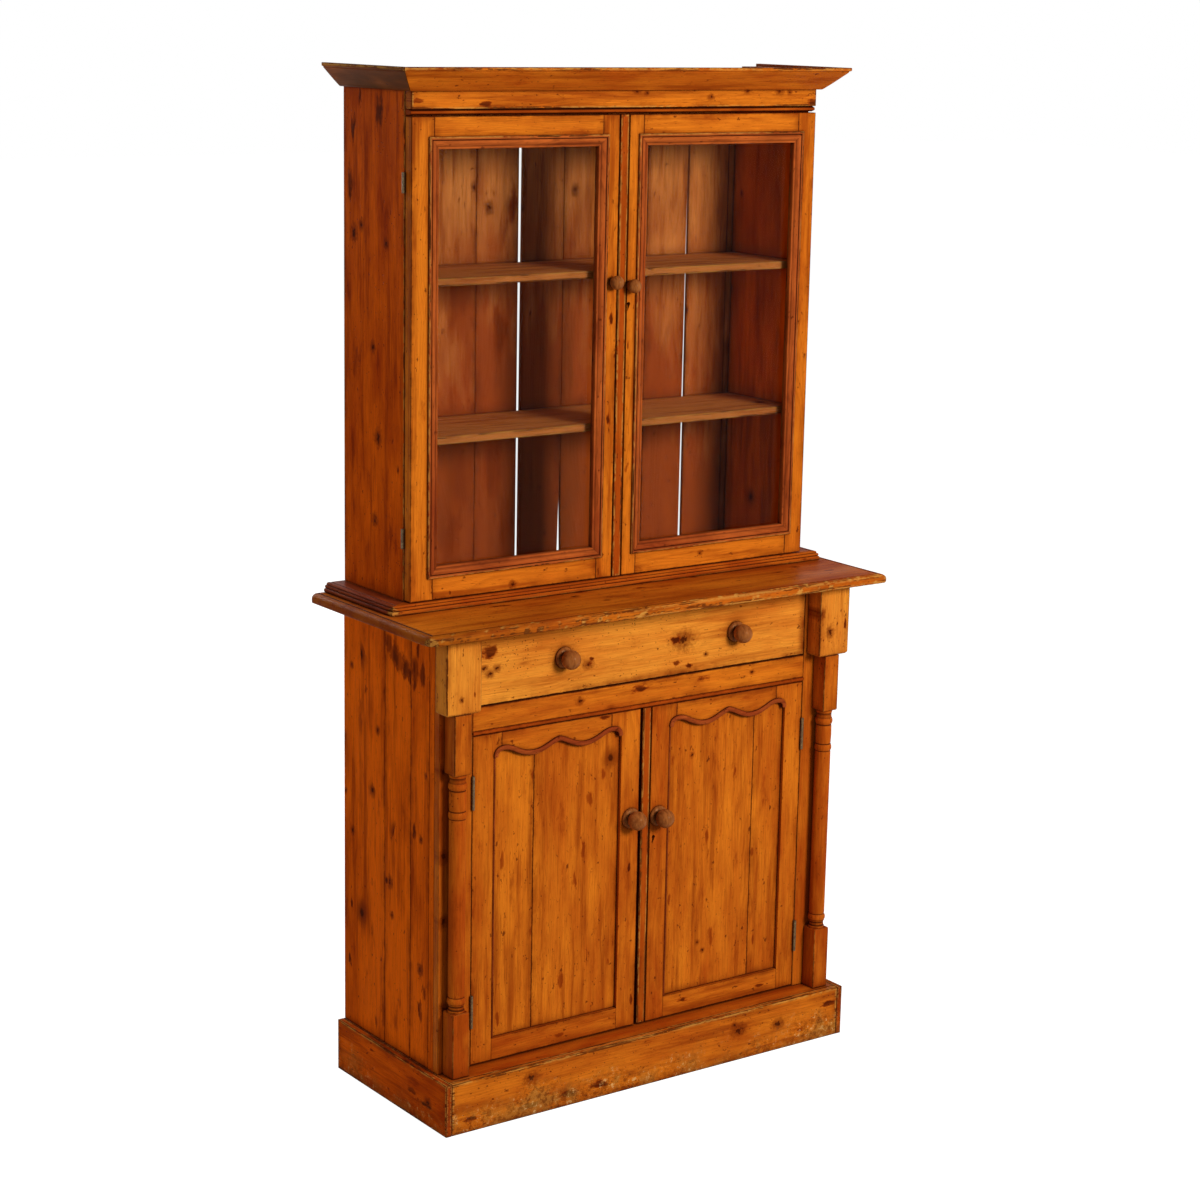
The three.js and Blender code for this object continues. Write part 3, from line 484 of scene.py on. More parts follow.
def pine_material(name, golden, amber, latewood, sheen=0.42, ring=0.2, gloss=0.015, dirt=1.0):
    """Waxed pine in one range of colours, for boards that carry the board attributes."""
    wood = bpy.context.scene.cupboard_wood
    material, g = cleared(bpy.data.materials.new(name))
    knots = group_of(g, "knots")
    figure = group_of(g, "figure", Reach=knots["Reach"], Size=knots["Size"], Spacing=wood.ring_spacing)
    stains = group_of(g, "stains")
    wear = group_of(g, "wear")
    tone = g.values("look")[1]
    age = g.values("age")
    lean = g.values("lean")
    hollow = g.attribute("hollow", "Fac")
    chipped = g.attribute("chipped", "Fac")
    reach = knots["Reach"]
    # Broad colour of the board and its fibres
    tone = g.plus(tone, g.times(lean[0], figure["Along"]))
    blend = g.math("ADD", g.math("MULTIPLY_ADD", g.minus(figure["Patch"], 0.5), 2.2, tone),
                   g.times(g.minus(figure["Blotch"], 0.5), 1.5), clamp=True)
    fibre = g.ramp(figure["Fibre"], 0.3, 0.7, 0.84, 1.12, smooth=False)
    colour = g.coats(
        g.mix(blend, golden, amber),
        (g.ramp(figure["Streak"], 0.48, 0.68, 0.0, 0.7), deeper(amber, 0.74)),
        (g.times(figure["Latewood"], g.times(age[1], ring)), latewood))
    colour = g.mix(1.0, colour, g.combine(fibre, fibre, fibre), "MULTIPLY")
    # Knots, stains, a film of painted shade and what has worn off
    speck = g.ramp(figure["Speck"], 0.65, 0.71, 0.0, 0.8)
    smear = g.times(stains["Amount"], g.ramp(figure["Streak"], 0.3, 0.6, 0.5, 1.0), age[2])
    # Painted shade: a dark film over the board, broken up by the broad patches
    shade_film_mask = g.math("MULTIPLY", lean[2], g.ramp(figure["Patch"], 0.35, 0.65, 0.5, 1.5), clamp=True)
    bared = g.ramp(g.math("MULTIPLY_ADD", figure["Crack"], 0.7, chipped), 0.55, 0.8)
    bared = g.most(bared, g.times(wear["Worn"], g.ramp(hollow, 0.45, 0.15)))
    crack = g.times(g.ramp(figure["Crack"], 0.51, 0.57), g.ramp(bared, 0.0, 0.25))
    colour = g.coats(
        colour,
        (g.ramp(figure["Blotch"], 0.6, 0.74, 0.0, 0.5), latewood),
        (g.ramp(figure["Dash"], 0.66, 0.73, 0.0, 0.75), latewood),
        (speck, wood.stain),
        (g.ramp(reach, 4.2, 0.9, 0.0, 0.75), deeper(latewood, 0.8)),
        (g.ramp(reach, 1.3, 0.6, 0.0, 0.92), deeper(wood.stain, 0.55)),
        (g.ramp(smear, 0.0, 0.6, 0.0, 0.85), wood.flush),
        (g.ramp(smear, 0.4, 1.1, 0.0, 0.95), deeper(wood.stain, 0.7)),
        (g.times(wear["Shading"], 0.6 * dirt), deeper(latewood, 0.8)),
        (shade_film_mask, (0.045, 0.020, 0.004)),
        (g.times(bared, 0.66), wood.bare),
        (g.times(crack, 0.85), deeper(latewood, 0.5)),
        (g.times(wear["Wash"], 0.62), (0.42, 0.172, 0.026)),
        (g.times(wear["Smut"], 0.6), wood.stain),
        (g.times(wear["Scuff"], 0.7), (0.86, 0.50, 0.17)))
    # Painted shade in corners and hollows (ambient occlusion and the hollow attribute), and dirt in joints
    # and pits
    broad = g.ramp(crevice(g, 3, 0.03), 0.95, 0.35, 0.0, 0.62 * dirt)
    close = g.ramp(crevice(g, 4, 0.005), 0.92, 0.4, 0.0, 0.85 * dirt)
    colour = g.coats(
        colour,
        (g.math("MULTIPLY", broad, age[0], clamp=True), deeper(latewood, 0.9)),
        (g.math("MULTIPLY", close, age[0], clamp=True), wood.grime_and_shade),
        (g.ramp(hollow, 0.25, 0.8, 0.0, 0.88), wood.grime_and_shade),
        (g.times(wear["Joint"], 0.9), g.mix(figure["Blotch"], wood.grime_and_shade, wood.stain)),
        (g.times(wear["Pit"], 0.8), wood.grime_and_shade),
        (g.times(wear["End"], 0.4), latewood))
    rough = g.plus(g.ramp(figure["Patch"], 0.3, 0.7, sheen - 0.06, sheen + 0.1),
                   g.times(wear["Joint"], 0.2))
    height = g.plus(g.times(figure["Latewood"], 0.25), g.times(figure["Fibre"], 0.25))
    for part, depth in ((wear["Pit"], 1.0), (wear["Worn"], 0.5), (speck, 0.7), (wear["Joint"], 0.8)):
        height = g.minus(height, g.times(part, depth))
    shader = g.bumped(0.7, 0.0006, height, Base_Color=colour, Roughness=rough)
    wax_gloss(g, shader, gloss)
    g.surface(shader)
    return material


def glass_material():
    """Thin old window glass. Shadow and diffuse rays pass straight through it."""
    material, g = cleared(bpy.data.materials.new("old_pane_glass"))
    glass = g.bumped(0.04, 0.001, g.noise(g.object_point(), 9.0, 1.0))
    for name, value in (("Base Color", (0.94, 0.95, 0.93, 1)), ("Roughness", 0.0),
                        ("Transmission Weight", 1.0), ("IOR", 1.1)):
        g.put(glass.inputs[name], value)
    clear = g.node("ShaderNodeBsdfTransparent", Color=(0.93, 0.94, 0.92, 1))
    path = g.node("ShaderNodeLightPath").outputs
    straight = g.most(path["Is Shadow Ray"], path["Is Diffuse Ray"])
    g.surface(g.mixed(straight, glass, clear))
    return material


def iron_material():
    """Dark, worn iron of the hinges and locks."""
    material, g = cleared(bpy.data.materials.new("old_iron"))
    point = g.object_point()
    rust = g.noise(point, 160.0, 4.0, 0.7)
    colour = g.mix(g.ramp(rust, 0.4, 0.65), (0.150, 0.088, 0.028), (0.070, 0.028, 0.008))
    bright = g.ramp(g.noise(point, 420.0, 2.0), 0.6, 0.75, 0.0, 0.6)
    colour = g.mix(bright, colour, (0.30, 0.20, 0.075))
    g.surface(g.bumped(0.5, 0.0004, rust, Base_Color=colour,
                       Metallic=g.ramp(rust, 0.4, 0.65, 0.35, 0.05),
                       Roughness=g.ramp(rust, 0.3, 0.7, 0.35, 0.75)))
    return material


def knob_material():
    """Turned, stained and handled wood of the knobs."""
    material, g = cleared(bpy.data.materials.new("turned_knob_wood"))
    point = g.object_point()
    grain = g.noise(g.vector("MULTIPLY", point, (260.0, 90.0, 60.0)), 1.0, 3.0, 0.6)
    patch = g.noise(point, 38.0, 3.0)
    # The last coat is painted shade from ambient occlusion, where the knob meets the door and in its
    # hollows
    colour = g.coats(
        g.mix(g.ramp(grain, 0.35, 0.7), (0.33, 0.10, 0.021), (0.19, 0.050, 0.010)),
        (g.ramp(patch, 0.5, 0.72, 0.0, 0.35), (0.46, 0.16, 0.038)),
        (g.ramp(crevice(g, 4, 0.016), 0.85, 0.35, 0.0, 0.9), (0.035, 0.008, 0.003)))
    shader = g.bumped(0.25, 0.0004, grain, Base_Color=colour, Roughness=g.ramp(patch, 0.3, 0.7, 0.2, 0.3))
    wax_gloss(g, shader, 0.06)
    g.surface(shader)
    return material


MATERIALS = {}


def finish_of(slot_name):
    """The material of a slot, made once."""
    if not MATERIALS:
        wood = bpy.context.scene.cupboard_wood
        golden, amber, late = tuple(wood.golden), tuple(wood.amber), tuple(wood.latewood)
        MATERIALS["front_pine"] = pine_material("honey_pine", golden, amber, late)
        MATERIALS["drawer_pine"] = pine_material(
            "golden_pine", (0.80, 0.28, 0.028), (0.58, 0.135, 0.011), late, ring=0.16, gloss=0.01)
        MATERIALS["dark_pine"] = pine_material(
            "shaded_pine", (0.85, 0.134, 0.003), (0.40, 0.042, 0.002), (0.16, 0.017, 0.003), ring=0.13,
            gloss=0.004)
        # The trim gets stronger painted shade in its corners and hollows
        MATERIALS["trim_pine"] = pine_material(
            "red_brown_trim", (0.52, 0.110, 0.018), (0.27, 0.040, 0.008), (0.08, 0.010, 0.003),
            sheen=0.34, ring=0.3, gloss=0.015, dirt=1.3)
        MATERIALS["inner_pine"] = pine_material(
            "inside_pine", (0.66, 0.210, 0.044), (0.38, 0.062, 0.008), (0.12, 0.017, 0.004), sheen=0.6,
            gloss=0.01)
        MATERIALS["knob_wood"] = knob_material()
        MATERIALS["pane_glass"] = glass_material()
        MATERIALS["old_steel"] = iron_material()
    return MATERIALS[slot_name]


# Places in the picture

def camera_matrix(stage):
    """Where the camera stands and looks, from its place and its turn, tilt and roll."""
    turn, tilt, roll = stage.heading
    forward = Vector((-math.sin(turn) * math.cos(tilt), math.cos(turn) * math.cos(tilt), math.sin(tilt)))
    right = Vector((math.cos(turn), math.sin(turn), 0))
    up = right.cross(forward)
    side = right * math.cos(roll) + up * math.sin(roll)
    top = up * math.cos(roll) - right * math.sin(roll)
    matrix = Matrix((side, top, -forward)).transposed().to_4x4()
    matrix.translation = Vector(stage.position)
    return matrix


def seen_at(across, down, axis, place):
    """The point of a plane that shows at a pixel of the picture."""
    stage = bpy.context.scene.cupboard_stage
    matrix = camera_matrix(stage)
    reach = stage.lens / SENSOR * PICTURE
    ray = matrix.to_3x3() @ Vector((across - PICTURE / 2, PICTURE / 2 - down, -reach))
    start = matrix.translation
    return start + ray * ((place - start[axis]) / ray[axis])


# Piece helpers

def box_bmesh(low, high, rounding):
    bm = bmesh.new()
    bmesh.ops.create_cube(bm, size=1.0)
    bmesh.ops.scale(bm, vec=high - low, verts=bm.verts)
    bmesh.ops.translate(bm, vec=(high + low) / 2, verts=bm.verts)
    if rounding:
        soften(bm, rounding)
    return bm


def soften(bm, rounding, least_angle=0.5, segments=2, chosen=None):
    """Rounds the sharp edges, or the chosen ones."""
    edges = [e for e in chosen or bm.edges if e.is_manifold and e.calc_face_angle(0) > least_angle]
    bmesh.ops.bevel(bm, geom=edges, offset=rounding, offset_type="OFFSET", segments=segments, profile=0.5,
                    affect="EDGES", material=-1, clamp_overlap=True, loop_slide=True)


def node_bmesh(node):
    """A clean copy of a CAD node's mesh."""
    bm = bmesh.new()
    bm.from_mesh(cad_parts[node].data)
    bmesh.ops.remove_doubles(bm, verts=bm.verts, dist=WELD)
    bmesh.ops.dissolve_limit(bm, angle_limit=FLAT_ANGLE, verts=bm.verts, edges=bm.edges,
                             use_dissolve_boundaries=False)
    return bm


def everything(bm):
    return bm.verts[:] + bm.edges[:] + bm.faces[:]


def cut(bm, place, normal):
    """Keeps what lies behind a plane and closes the cut."""
    made = bmesh.ops.bisect_plane(bm, geom=everything(bm), dist=ON_PLANE, plane_co=place, plane_no=normal,
                                  clear_outer=True)
    edges = [e for e in made["geom_cut"] if isinstance(e, bmesh.types.BMEdge)]
    bmesh.ops.holes_fill(bm, edges=edges, sides=0)


def slice_across(bm, start, axis, reaches):
    """Adds edges across a form at some distances from its start, so that its end can be worn alone."""
    for reach in reaches:
        bmesh.ops.bisect_plane(bm, geom=everything(bm), dist=ON_PLANE, plane_co=start + axis * reach,
                               plane_no=axis)


def part_of(node, x=None, z=None):
    """The stretch of a node's shape between two places on each axis that is given."""
    bm = node_bmesh(node)
    for axis, span in ((X, x), (Z, z)):
        if span and span[0] is not None:
            cut(bm, axis * span[0], -axis)
        if span and span[1] is not None:
            cut(bm, axis * span[1], axis)
    return bm


def hollows(outline):
    """How much painted shade each corner of an outline gets: none on a ridge, all in a sharp hollow."""
    count = len(outline)
    area = sum(outline[i - 1][0] * outline[i][1] - outline[i][0] * outline[i - 1][1] for i in range(count))
    values = []
    for i, (x, y) in enumerate(outline):
        into = Vector((x, y)) - Vector(outline[i - 1])
        out = Vector(outline[(i + 1) % count]) - Vector((x, y))
        bend = math.atan2(into.x * out.y - into.y * out.x, into.dot(out)) * (1 if area > 0 else -1)
        values.append(min(1.0, max(0.0, -bend / SHARP_BEND)))
    return values


def bridged(rings, dirt=()):
    """A skin through rings of points, capped at its ends.

    Each point of a ring has its amount of painted shade.
    """
    bm = bmesh.new()
    layer = bm.verts.layers.float.new("hollow")
    loops = []
    for ring in rings:
        verts = [bm.verts.new(p) for p in ring]
        for vert, amount in zip(verts, dirt):
            vert[layer] = amount
        loops.append([bm.edges.new(pair) for pair in zip(verts, verts[1:] + verts[:1])])
    for near, far in zip(loops, loops[1:]):
        bmesh.ops.bridge_loops(bm, edges=near + far)
    bmesh.ops.holes_fill(bm, edges=loops[0] + loops[-1], sides=0)
    bmesh.ops.recalc_face_normals(bm, faces=bm.faces)
    return bm


def turned(profile, place, axis, steps=48):
    """A turned form: the profile holds radius and distance along the axis."""
    bm = bmesh.new()
    layer = bm.verts.layers.float.new("hollow")
    side = axis.orthogonal().normalized()
    verts = [bm.verts.new(place + side * r + axis * t) for r, t in profile]
    for vert, amount in zip(verts, hollows([(r / MM, t / MM) for r, t in profile])):
        vert[layer] = amount
    edges = [bm.edges.new(pair) for pair in zip(verts, verts[1:])]
    bmesh.ops.spin(bm, geom=verts + edges, cent=place, axis=axis, dvec=(0, 0, 0), angle=math.tau,
                   steps=steps, use_merge=True, use_normal_flip=False, use_duplicate=False)
    bmesh.ops.remove_doubles(bm, verts=bm.verts, dist=WELD)
    bmesh.ops.recalc_face_normals(bm, faces=bm.faces)
    return bm


def outline_board(points, through):
    """A flat outline pushed through by a vector."""
    bm = bmesh.new()
    face = bm.faces.new([bm.verts.new(p) for p in points])
    made = bmesh.ops.extrude_face_region(bm, geom=[face])
    verts = [v for v in made["geom"] if isinstance(v, bmesh.types.BMVert)]
    bmesh.ops.translate(bm, vec=through, verts=verts)
    bmesh.ops.recalc_face_normals(bm, faces=bm.faces)
    return bm


def joined(parts):
    whole = parts[0]
    for part in parts[1:]:
        mesh = bpy.data.meshes.new("part")
        part.to_mesh(mesh)
        part.free()
        whole.from_mesh(mesh)
        bpy.data.meshes.remove(mesh)
    return whole


def finish_piece(name, bm, body, slot, nodes, smooth=0.0):
    """Makes the object. Faces that meet at less than the smooth angle are shaded as one."""
    mesh = bpy.data.meshes.new(name)
    bm.to_mesh(mesh)
    bm.free()
    if smooth:
        mesh.shade_smooth()
        mesh.set_sharp_from_angle(angle=smooth)
    piece = bpy.data.objects.new(name, mesh)
    bpy.context.scene.collection.objects.link(piece)
    mesh.materials.append(finish_of(slot))
    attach(piece, body)
    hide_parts(*nodes)
    return piece


def piece_box(piece):
    corners = [Vector(c) for c in piece.bound_box]
    return tuple(Vector([pick(c[i] for c in corners) for i in range(3)]) for pick in (min, max))


def dress(piece, grain, tone=0.4, wear=0.08, knots=0.25, pits=0.04, joint=1.0, scuff=0.0, heart=None,
          marks=(), stains=(), box=None, dirt=1.0, rings=1.0, strength=1.0, lean=0.0, stretch=0.34,
          smoke=0.0, nest=None):
    """Writes a board's box, grain, figure, knots and stains on its mesh.

    Knots and stains are given as pixel across, pixel down and radius in millimetres, and lie on the
    board's broad face that the picture shows. So does a nest of worm holes, given the same way.
    """
    draw = random.Random(piece.name)
    low, high = box or piece_box(piece)
    size = high - low
    spans = sorted(((size[i], i) for i in range(3) if not grain[i]), reverse=True)
    width, thick = spans[0][1], spans[1][1]
    face = high[2] if thick == 2 else low[thick]
    middle = (low + high) / 2
    depth = draw.choice((-1, 1)) * draw.uniform(*HEART_DEPTH)
    across = draw.uniform(-0.5, 0.5) * min(size[width], HEART_WIDTH)
    if heart:
        across, depth = heart
    # The board also carries how strong its painted shade in corners and hollows is, beside its ring and
    # stain strengths
    values = {
        "grain": grain, "width": (X, Y, Z)[width], "low": low, "high": high,
        "look": (draw.uniform(0, SEEDS), tone, wear), "figure": (across, depth, knots),
        "finish": (pits, joint, scuff), "age": (dirt, rings, strength), "lean": (lean, stretch, smoke),
    }

    def placed(right, down, radius):
        offset = seen_at(right, down, thick, face) - middle
        return offset[width], offset.dot(grain), radius * MM

    values["nest"] = placed(*nest) if nest else (0, 0, 0)
    for word, places, count in (("knot", marks, KNOTS), ("stain", stains, STAINS)):
        for i in range(count):
            values[f"{word}{i}"] = placed(*places[i]) if i < len(places) else (0, 0, 0)
    count = len(piece.data.vertices)
    for name, value in values.items():
        data = piece.data.attributes.new(name, "FLOAT_VECTOR", "POINT").data
        data.foreach_set("vector", list(value) * count)
    return piece


def shaped(name, bm, grain, body, slot, nodes, smooth=0.0, **figure):
    return dress(finish_piece(name, bm, body, slot, nodes, smooth), grain, **figure)


def board(name, low, high, grain, body, slot, nodes, rounding=None, **figure):
    if rounding is None:
        rounding = bpy.context.scene.cupboard_wood.rounding
    bm = box_bmesh(Vector(low), Vector(high), rounding)
    return shaped(name, bm, grain, body, slot, nodes, **figure)


def node_board(node, grain, body, slot, **figure):
    low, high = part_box(node)
    return board(f"{node}_board", low, high, grain, body, slot, [node], **figure)


def planks(stem, node, seams, body, slot, details, hidden=0.0):
    """Upright boards side by side in a node's box. The seams are places along X or Y.

    The outer edges are hidden by that much under what holds the boards, and get their dirt that far in.
    """
    low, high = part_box(node)
    size = high - low
    axis = 0 if size.x > size.y else 1
    places = [low[axis], *seams, high[axis]]
    for i, (start, end) in enumerate(zip(places, places[1:])):
        near, far = low.copy(), high.copy()
        near[axis], far[axis] = start, end
        seen_near, seen_far = near.copy(), far.copy()
        seen_near.z += hidden
        seen_near[axis] = max(start, low[axis] + hidden)
        seen_far[axis] = min(end, high[axis] - hidden)
        board(f"{stem}_{i + 1}", near, far, Z, body, slot, [node], box=(seen_near, seen_far),
              **details[i % len(details)])


# Operators

class CUPBOARD_OT_plinth(bpy.types.Operator):
    """Make the plinth boards and the base board behind them"""

    bl_idname = "cupboard.plinth"
    bl_label = "Plinth"
    bl_options = {"REGISTER", "UNDO"}

    # Places in the picture: pixels across and down, and radius in millimetres
    front_marks = ((531, 1078, 5), (739, 1030, 6), (778, 1024, 5))
    front_stains = ((470, 1118, 8), (530, 1106, 9), (600, 1083, 10), (828, 1004, 9), (800, 1030, 6),
                    (570, 1094, 8))
    side_stains = ((425, 1105, 8), (412, 1090, 6), (372, 1050, 5))

    def execute(self, context):
        node_board("plinth_front", X, "carcass", "front_pine", tone=0.25, wear=0.7, knots=0.1, pits=0.4,
                   scuff=1.0, rounding=0.0016, marks=self.front_marks, stains=self.front_stains)
        for word in SIDES:
            node_board(f"plinth_{word}", Y, "carcass", "dark_pine", tone=0.55, wear=0.6, knots=0.25,
                       pits=0.1, scuff=0.6, stains=self.side_stains if word == "left" else ())
        node_board("base_board", X, "carcass", "front_pine", tone=0.7, wear=0.3, knots=0.1)
        return {"FINISHED"}


class CUPBOARD_OT_lower_case(bpy.types.Operator):
    """Make the sides, back, face stiles, runners and rail of the lower case"""

    bl_idname = "cupboard.lower_case"
    bl_label = "Lower Case"
    bl_options = {"REGISTER", "UNDO"}

    # Places in the picture: pixels across and down, and radius in millimetres
    nails = ((443.5, 771, 4), (443.5, 857, 4.5), (443.5, 922, 4.5), (443.5, 1010, 4))
    plank_marks = ((), ((411, 706, 2), (421, 840, 2.5), (420, 970, 4), (426, 776, 2)),
                   ((390, 882, 4), (384, 880, 2), (392, 915, 2.5)),
                   ((362, 614, 3), (352, 665, 2.5), (353, 830, 3), (346, 790, 2)))
    plank_stains = (((437, 640, 9), (440, 1030, 8)),
                    ((415, 673, 13), (423, 677, 12), (418, 650, 6), (424, 990, 10), (420, 1010, 9),
                     (414, 830, 6)),
                    ((389, 644, 20), (394, 654, 24), (400, 662, 22), (406, 669, 19), (410, 675, 13),
                     (387, 880, 5)),
                    ((350, 960, 6), (352, 905, 5), (372, 880, 4), (366, 690, 5)))
    rail_marks = ((580, 701, 3), (752, 672, 2))
    rail_stains = ((640, 690, 10), (700, 680, 7))
    # Seams of a side, back from its front edge, and of the back
    side_seams = (0.0185, 0.088, 0.188)
    back_seams = (-0.27, -0.02, 0.22)
    bead_height = 0.008
    bead_proud = 0.003

    def execute(self, context):
        for word in SIDES:
            self.side(word)
            node_board(f"face_stile_{word}", Z, "carcass", "front_pine", tone=0.6, knots=0.0, dirt=0.5,
                       joint=0.4, marks=self.nails if word == "left" else ())
            self.runner(word)
        planks("lower_back_plank", "lower_back", self.back_seams, "carcass", "inner_pine",
               ({"tone": 0.3}, {"tone": 0.55}, {"tone": 0.4}))
        self.rail()
        return {"FINISHED"}

    def side(self, word):
        node = f"lower_side_{word}"
        low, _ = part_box(node)
        seams = [low.y + reach for reach in self.side_seams]
        details = [{"tone": 0.1, "dirt": 0.4, "joint": 0.3}, {"tone": 0.25, "knots": 0.3},
                   {"tone": -0.05, "stretch": 0.75}, {"tone": 0.15, "knots": 0.4}]
        for detail in details:
            detail.update(wear=0.02)
        if word == "left":
            for detail, marks, stains in zip(details, self.plank_marks, self.plank_stains):
                detail.update(marks=marks, stains=stains)
        planks(f"{node}_plank", node, seams, "carcass", "dark_pine", details)

    def runner(self, word):
        node = f"drawer_runner_{word}"
        bm = node_bmesh(node)
        soften(bm, 0.0005)
        shaped(f"{node}_ledge", bm, Y, "carcass", "inner_pine", [node])

    def rail(self):
        """The rail under the drawer, with the dark bead along its foot."""
        node = "drawer_rail"
        low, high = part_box(node)
        bead_top = low.z + self.bead_height
        board("drawer_rail_board", (low.x, low.y + self.bead_proud, bead_top), high, X, "carcass",
              "front_pine", [node], tone=0.3, knots=0.05, marks=self.rail_marks, stains=self.rail_stains)
        bm = part_of(node, z=(None, bead_top))
        shaped("drawer_rail_bead", bm, X, "carcass", "front_pine", [node], smooth=0.7, tone=1.2)


class CUPBOARD_OT_countertop(bpy.types.Operator):
    """Make the worktop with its moulded and worn edge"""

    bl_idname = "cupboard.countertop"
    bl_label = "Worktop"
    bl_options = {"REGISTER", "UNDO"}

    # Places in the picture: pixels across and down, and radius in millimetres
    top_marks = ((693, 577, 3), (795, 567, 3), (607, 600, 2.5))
    top_stains = ((580, 592, 9), (500, 606, 7), (700, 575, 9), (640, 588, 7), (780, 572, 6), (830, 570, 6))
    # Inset and height of the edge moulding, in millimetres, from the foot to the groove on the top
    edge = ((5, 0), (2.4, 0.5), (0.7, 2), (0, 4.6), (0, 10.5), (0.8, 14), (2.8, 17), (5.8, 19.2),
            (9.5, 20.3), (11.6, 20.5), (12.6, 19), (15.8, 19), (16.8, 20.5), (30, 20.5))
    # Painted shade on the worktop's left end; the same value keeps wear off that end
    end_dirt = 0.5
    # Cuts along the worktop, and how close together its bites lie
    cuts = 160
    bite_scale = 85
    # How far wear reaches in from the front edge and how deep it goes, and the same at the broken corner
    bite_reach = 0.012
    bite_depth = 0.0035
    broken_reach = 0.022
    broken_depth = 0.009
    broken_width = 0.006
    # How bare the wood is along the edge, and how much more at the broken corner and in a bite
    bareness = (0.14, 1.6, 0.6)

    def execute(self, context):
        low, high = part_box("countertop")
        rings = []
        for inset, up in self.edge:
            d, z = inset * MM, low.z + up * MM
            rings.append([Vector((low.x + d, low.y + d, z)), Vector((high.x - d, low.y + d, z)),
                          Vector((high.x - d, high.y, z)), Vector((low.x + d, high.y, z))])
        bm = bridged(rings)
        layer = bm.verts.layers.float["hollow"]
        for i, amount in enumerate(hollows(self.edge)):
            for j, vert in enumerate(bm.verts[4 * i:4 * i + 4]):
                vert[layer] = max(amount, self.end_dirt if j in (0, 3) and i < len(self.edge) - 1 else 0)
        long_edges = [e for e in bm.edges if abs((e.verts[0].co - e.verts[1].co).normalized().x) > 0.99]
        bmesh.ops.subdivide_edges(bm, edges=long_edges, cuts=self.cuts, use_grid_fill=True)
        slice_across(bm, low, Y, (self.bite_reach, 2 * self.bite_reach))
        self.bite(bm, low)
        shaped("countertop_slab", bm, X, "carcass", "front_pine", ["countertop"], smooth=0.6, tone=0.46,
               lean=0.3, wear=0.8, knots=0.1, pits=0.3, stains=self.top_stains, marks=self.top_marks,
               rings=0.6)
        return {"FINISHED"}

    def bite(self, bm, low):
        """Small bites out of the front edge, and the broken front left corner."""
        corner = Vector((low.x, low.y, low.z))
        least, more, some = self.bareness
        chipped = bm.verts.layers.float.new("chipped")
        for v in bm.verts:
            near = 1 - (v.co.y - low.y) / self.bite_reach
            if near <= 0:
                continue
            bite = max(0.0, noise.fractal(v.co * self.bite_scale, 1.0, 2.0, 3))
            broken = max(0.0, 1 - (v.co - corner).length / self.broken_reach)
            v[chipped] = min(1.0, least + more * broken + some * bite)
            v.co.y += near * (self.bite_depth * bite) + self.broken_depth * broken
            v.co.x += self.broken_width * broken


class CUPBOARD_OT_columns(bpy.types.Operator):
    """Make the corner blocks and the turned columns"""

    bl_idname = "cupboard.columns"
    bl_label = "Columns"
    bl_options = {"REGISTER", "UNDO"}

    # Places in the picture: pixels across and down, and radius in millimetres
    block_marks = {"left": ((462, 700, 2),), "right": ((822, 614, 3.5), (814, 636, 3), (830, 632, 4))}
    block_stains = {"left": ((443, 690, 4), (475, 694, 3)), "right": ((845, 625, 4),)}
    foot_block = 0.137
    top_block = 0.124
    shoulder = 0.004
    corner_rounding = 0.0016
    block_rounding = 0.0012
    # Radius and height of the turning, in millimetres, up from the foot block and down from the top block
    foot_turning = ((0, 0), (17.4, 0), (17.4, 3), (16, 4.2), (15.4, 9), (15.8, 13.5), (17.2, 15.6),
                    (17.2, 16.8), (18.6, 19.6), (19, 23), (18.6, 26.6), (17, 29.6), (16.2, 31), (16.8, 33),
                    (17, 38))
    head_turning = ((17, 95), (16.8, 92.4), (16, 91), (17.4, 89), (18.4, 85.5), (18.4, 81), (17.4, 77),
                    (16.2, 75.2), (16.6, 72), (17.4, 55), (17, 36), (16.2, 31.5), (17.4, 30), (18.6, 27),
                    (19, 23.4), (18.4, 19.6), (16.8, 16.6), (16, 12), (16.4, 6), (17.4, 4), (17.4, 0),
                    (0, 0))

    def execute(self, context):
        for word in SIDES:
            self.corner_block(word)
            self.column(word)
        return {"FINISHED"}

    def corner_block(self, word):
        node = f"corner_block_{word}"
        bm = node_bmesh(node)
        soften(bm, self.corner_rounding, least_angle=0.3)
        shaped(f"{node}_wood", bm, Z, "carcass", "drawer_pine", [node], tone=0.4, wear=0.3, pits=0.1,
               knots=0.0, marks=self.block_marks[word], stains=self.block_stains[word])

    def column(self, word):
        node = f"column_{word}"
        low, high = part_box(node)
        middle = (low + high) / 2
        foot = low.z + self.foot_block
        head = high.z - self.top_block
        # The blocks and the turning below get strong painted shade in their corners and hollows
        for part, near, far, shoulder in (("foot", low.z, foot, 1), ("top", head, high.z, -1)):
            bm = box_bmesh(Vector((low.x, low.y, near)), Vector((high.x, high.y, far)), 0)
            end = far if shoulder > 0 else near
            rim = [e for e in bm.edges if all(abs(v.co.z - end) < ON_PLANE for v in e.verts)]
            soften(bm, self.shoulder, segments=3, chosen=rim)
            soften(bm, self.block_rounding, least_angle=1.2)
            shaped(f"{node}_{part}_block", bm, Z, "carcass", "front_pine", [node], tone=0.7, knots=0.0,
                   wear=0.2, dirt=1.4)
        profile = [(r * MM, foot + up * MM) for r, up in self.foot_turning]
        profile += [(r * MM, head - down * MM) for r, down in self.head_turning]
        place = Vector((middle.x, middle.y, 0))
        bm = turned(profile, place, Z)
        box = (Vector((low.x, low.y, foot)), Vector((high.x, high.y, head)))
        shaped(f"{node}_turning", bm, Z, "carcass", "front_pine", [node], smooth=0.6, tone=0.7, knots=0.0,
               joint=0.0, box=box, dirt=1.5, rings=0.5)


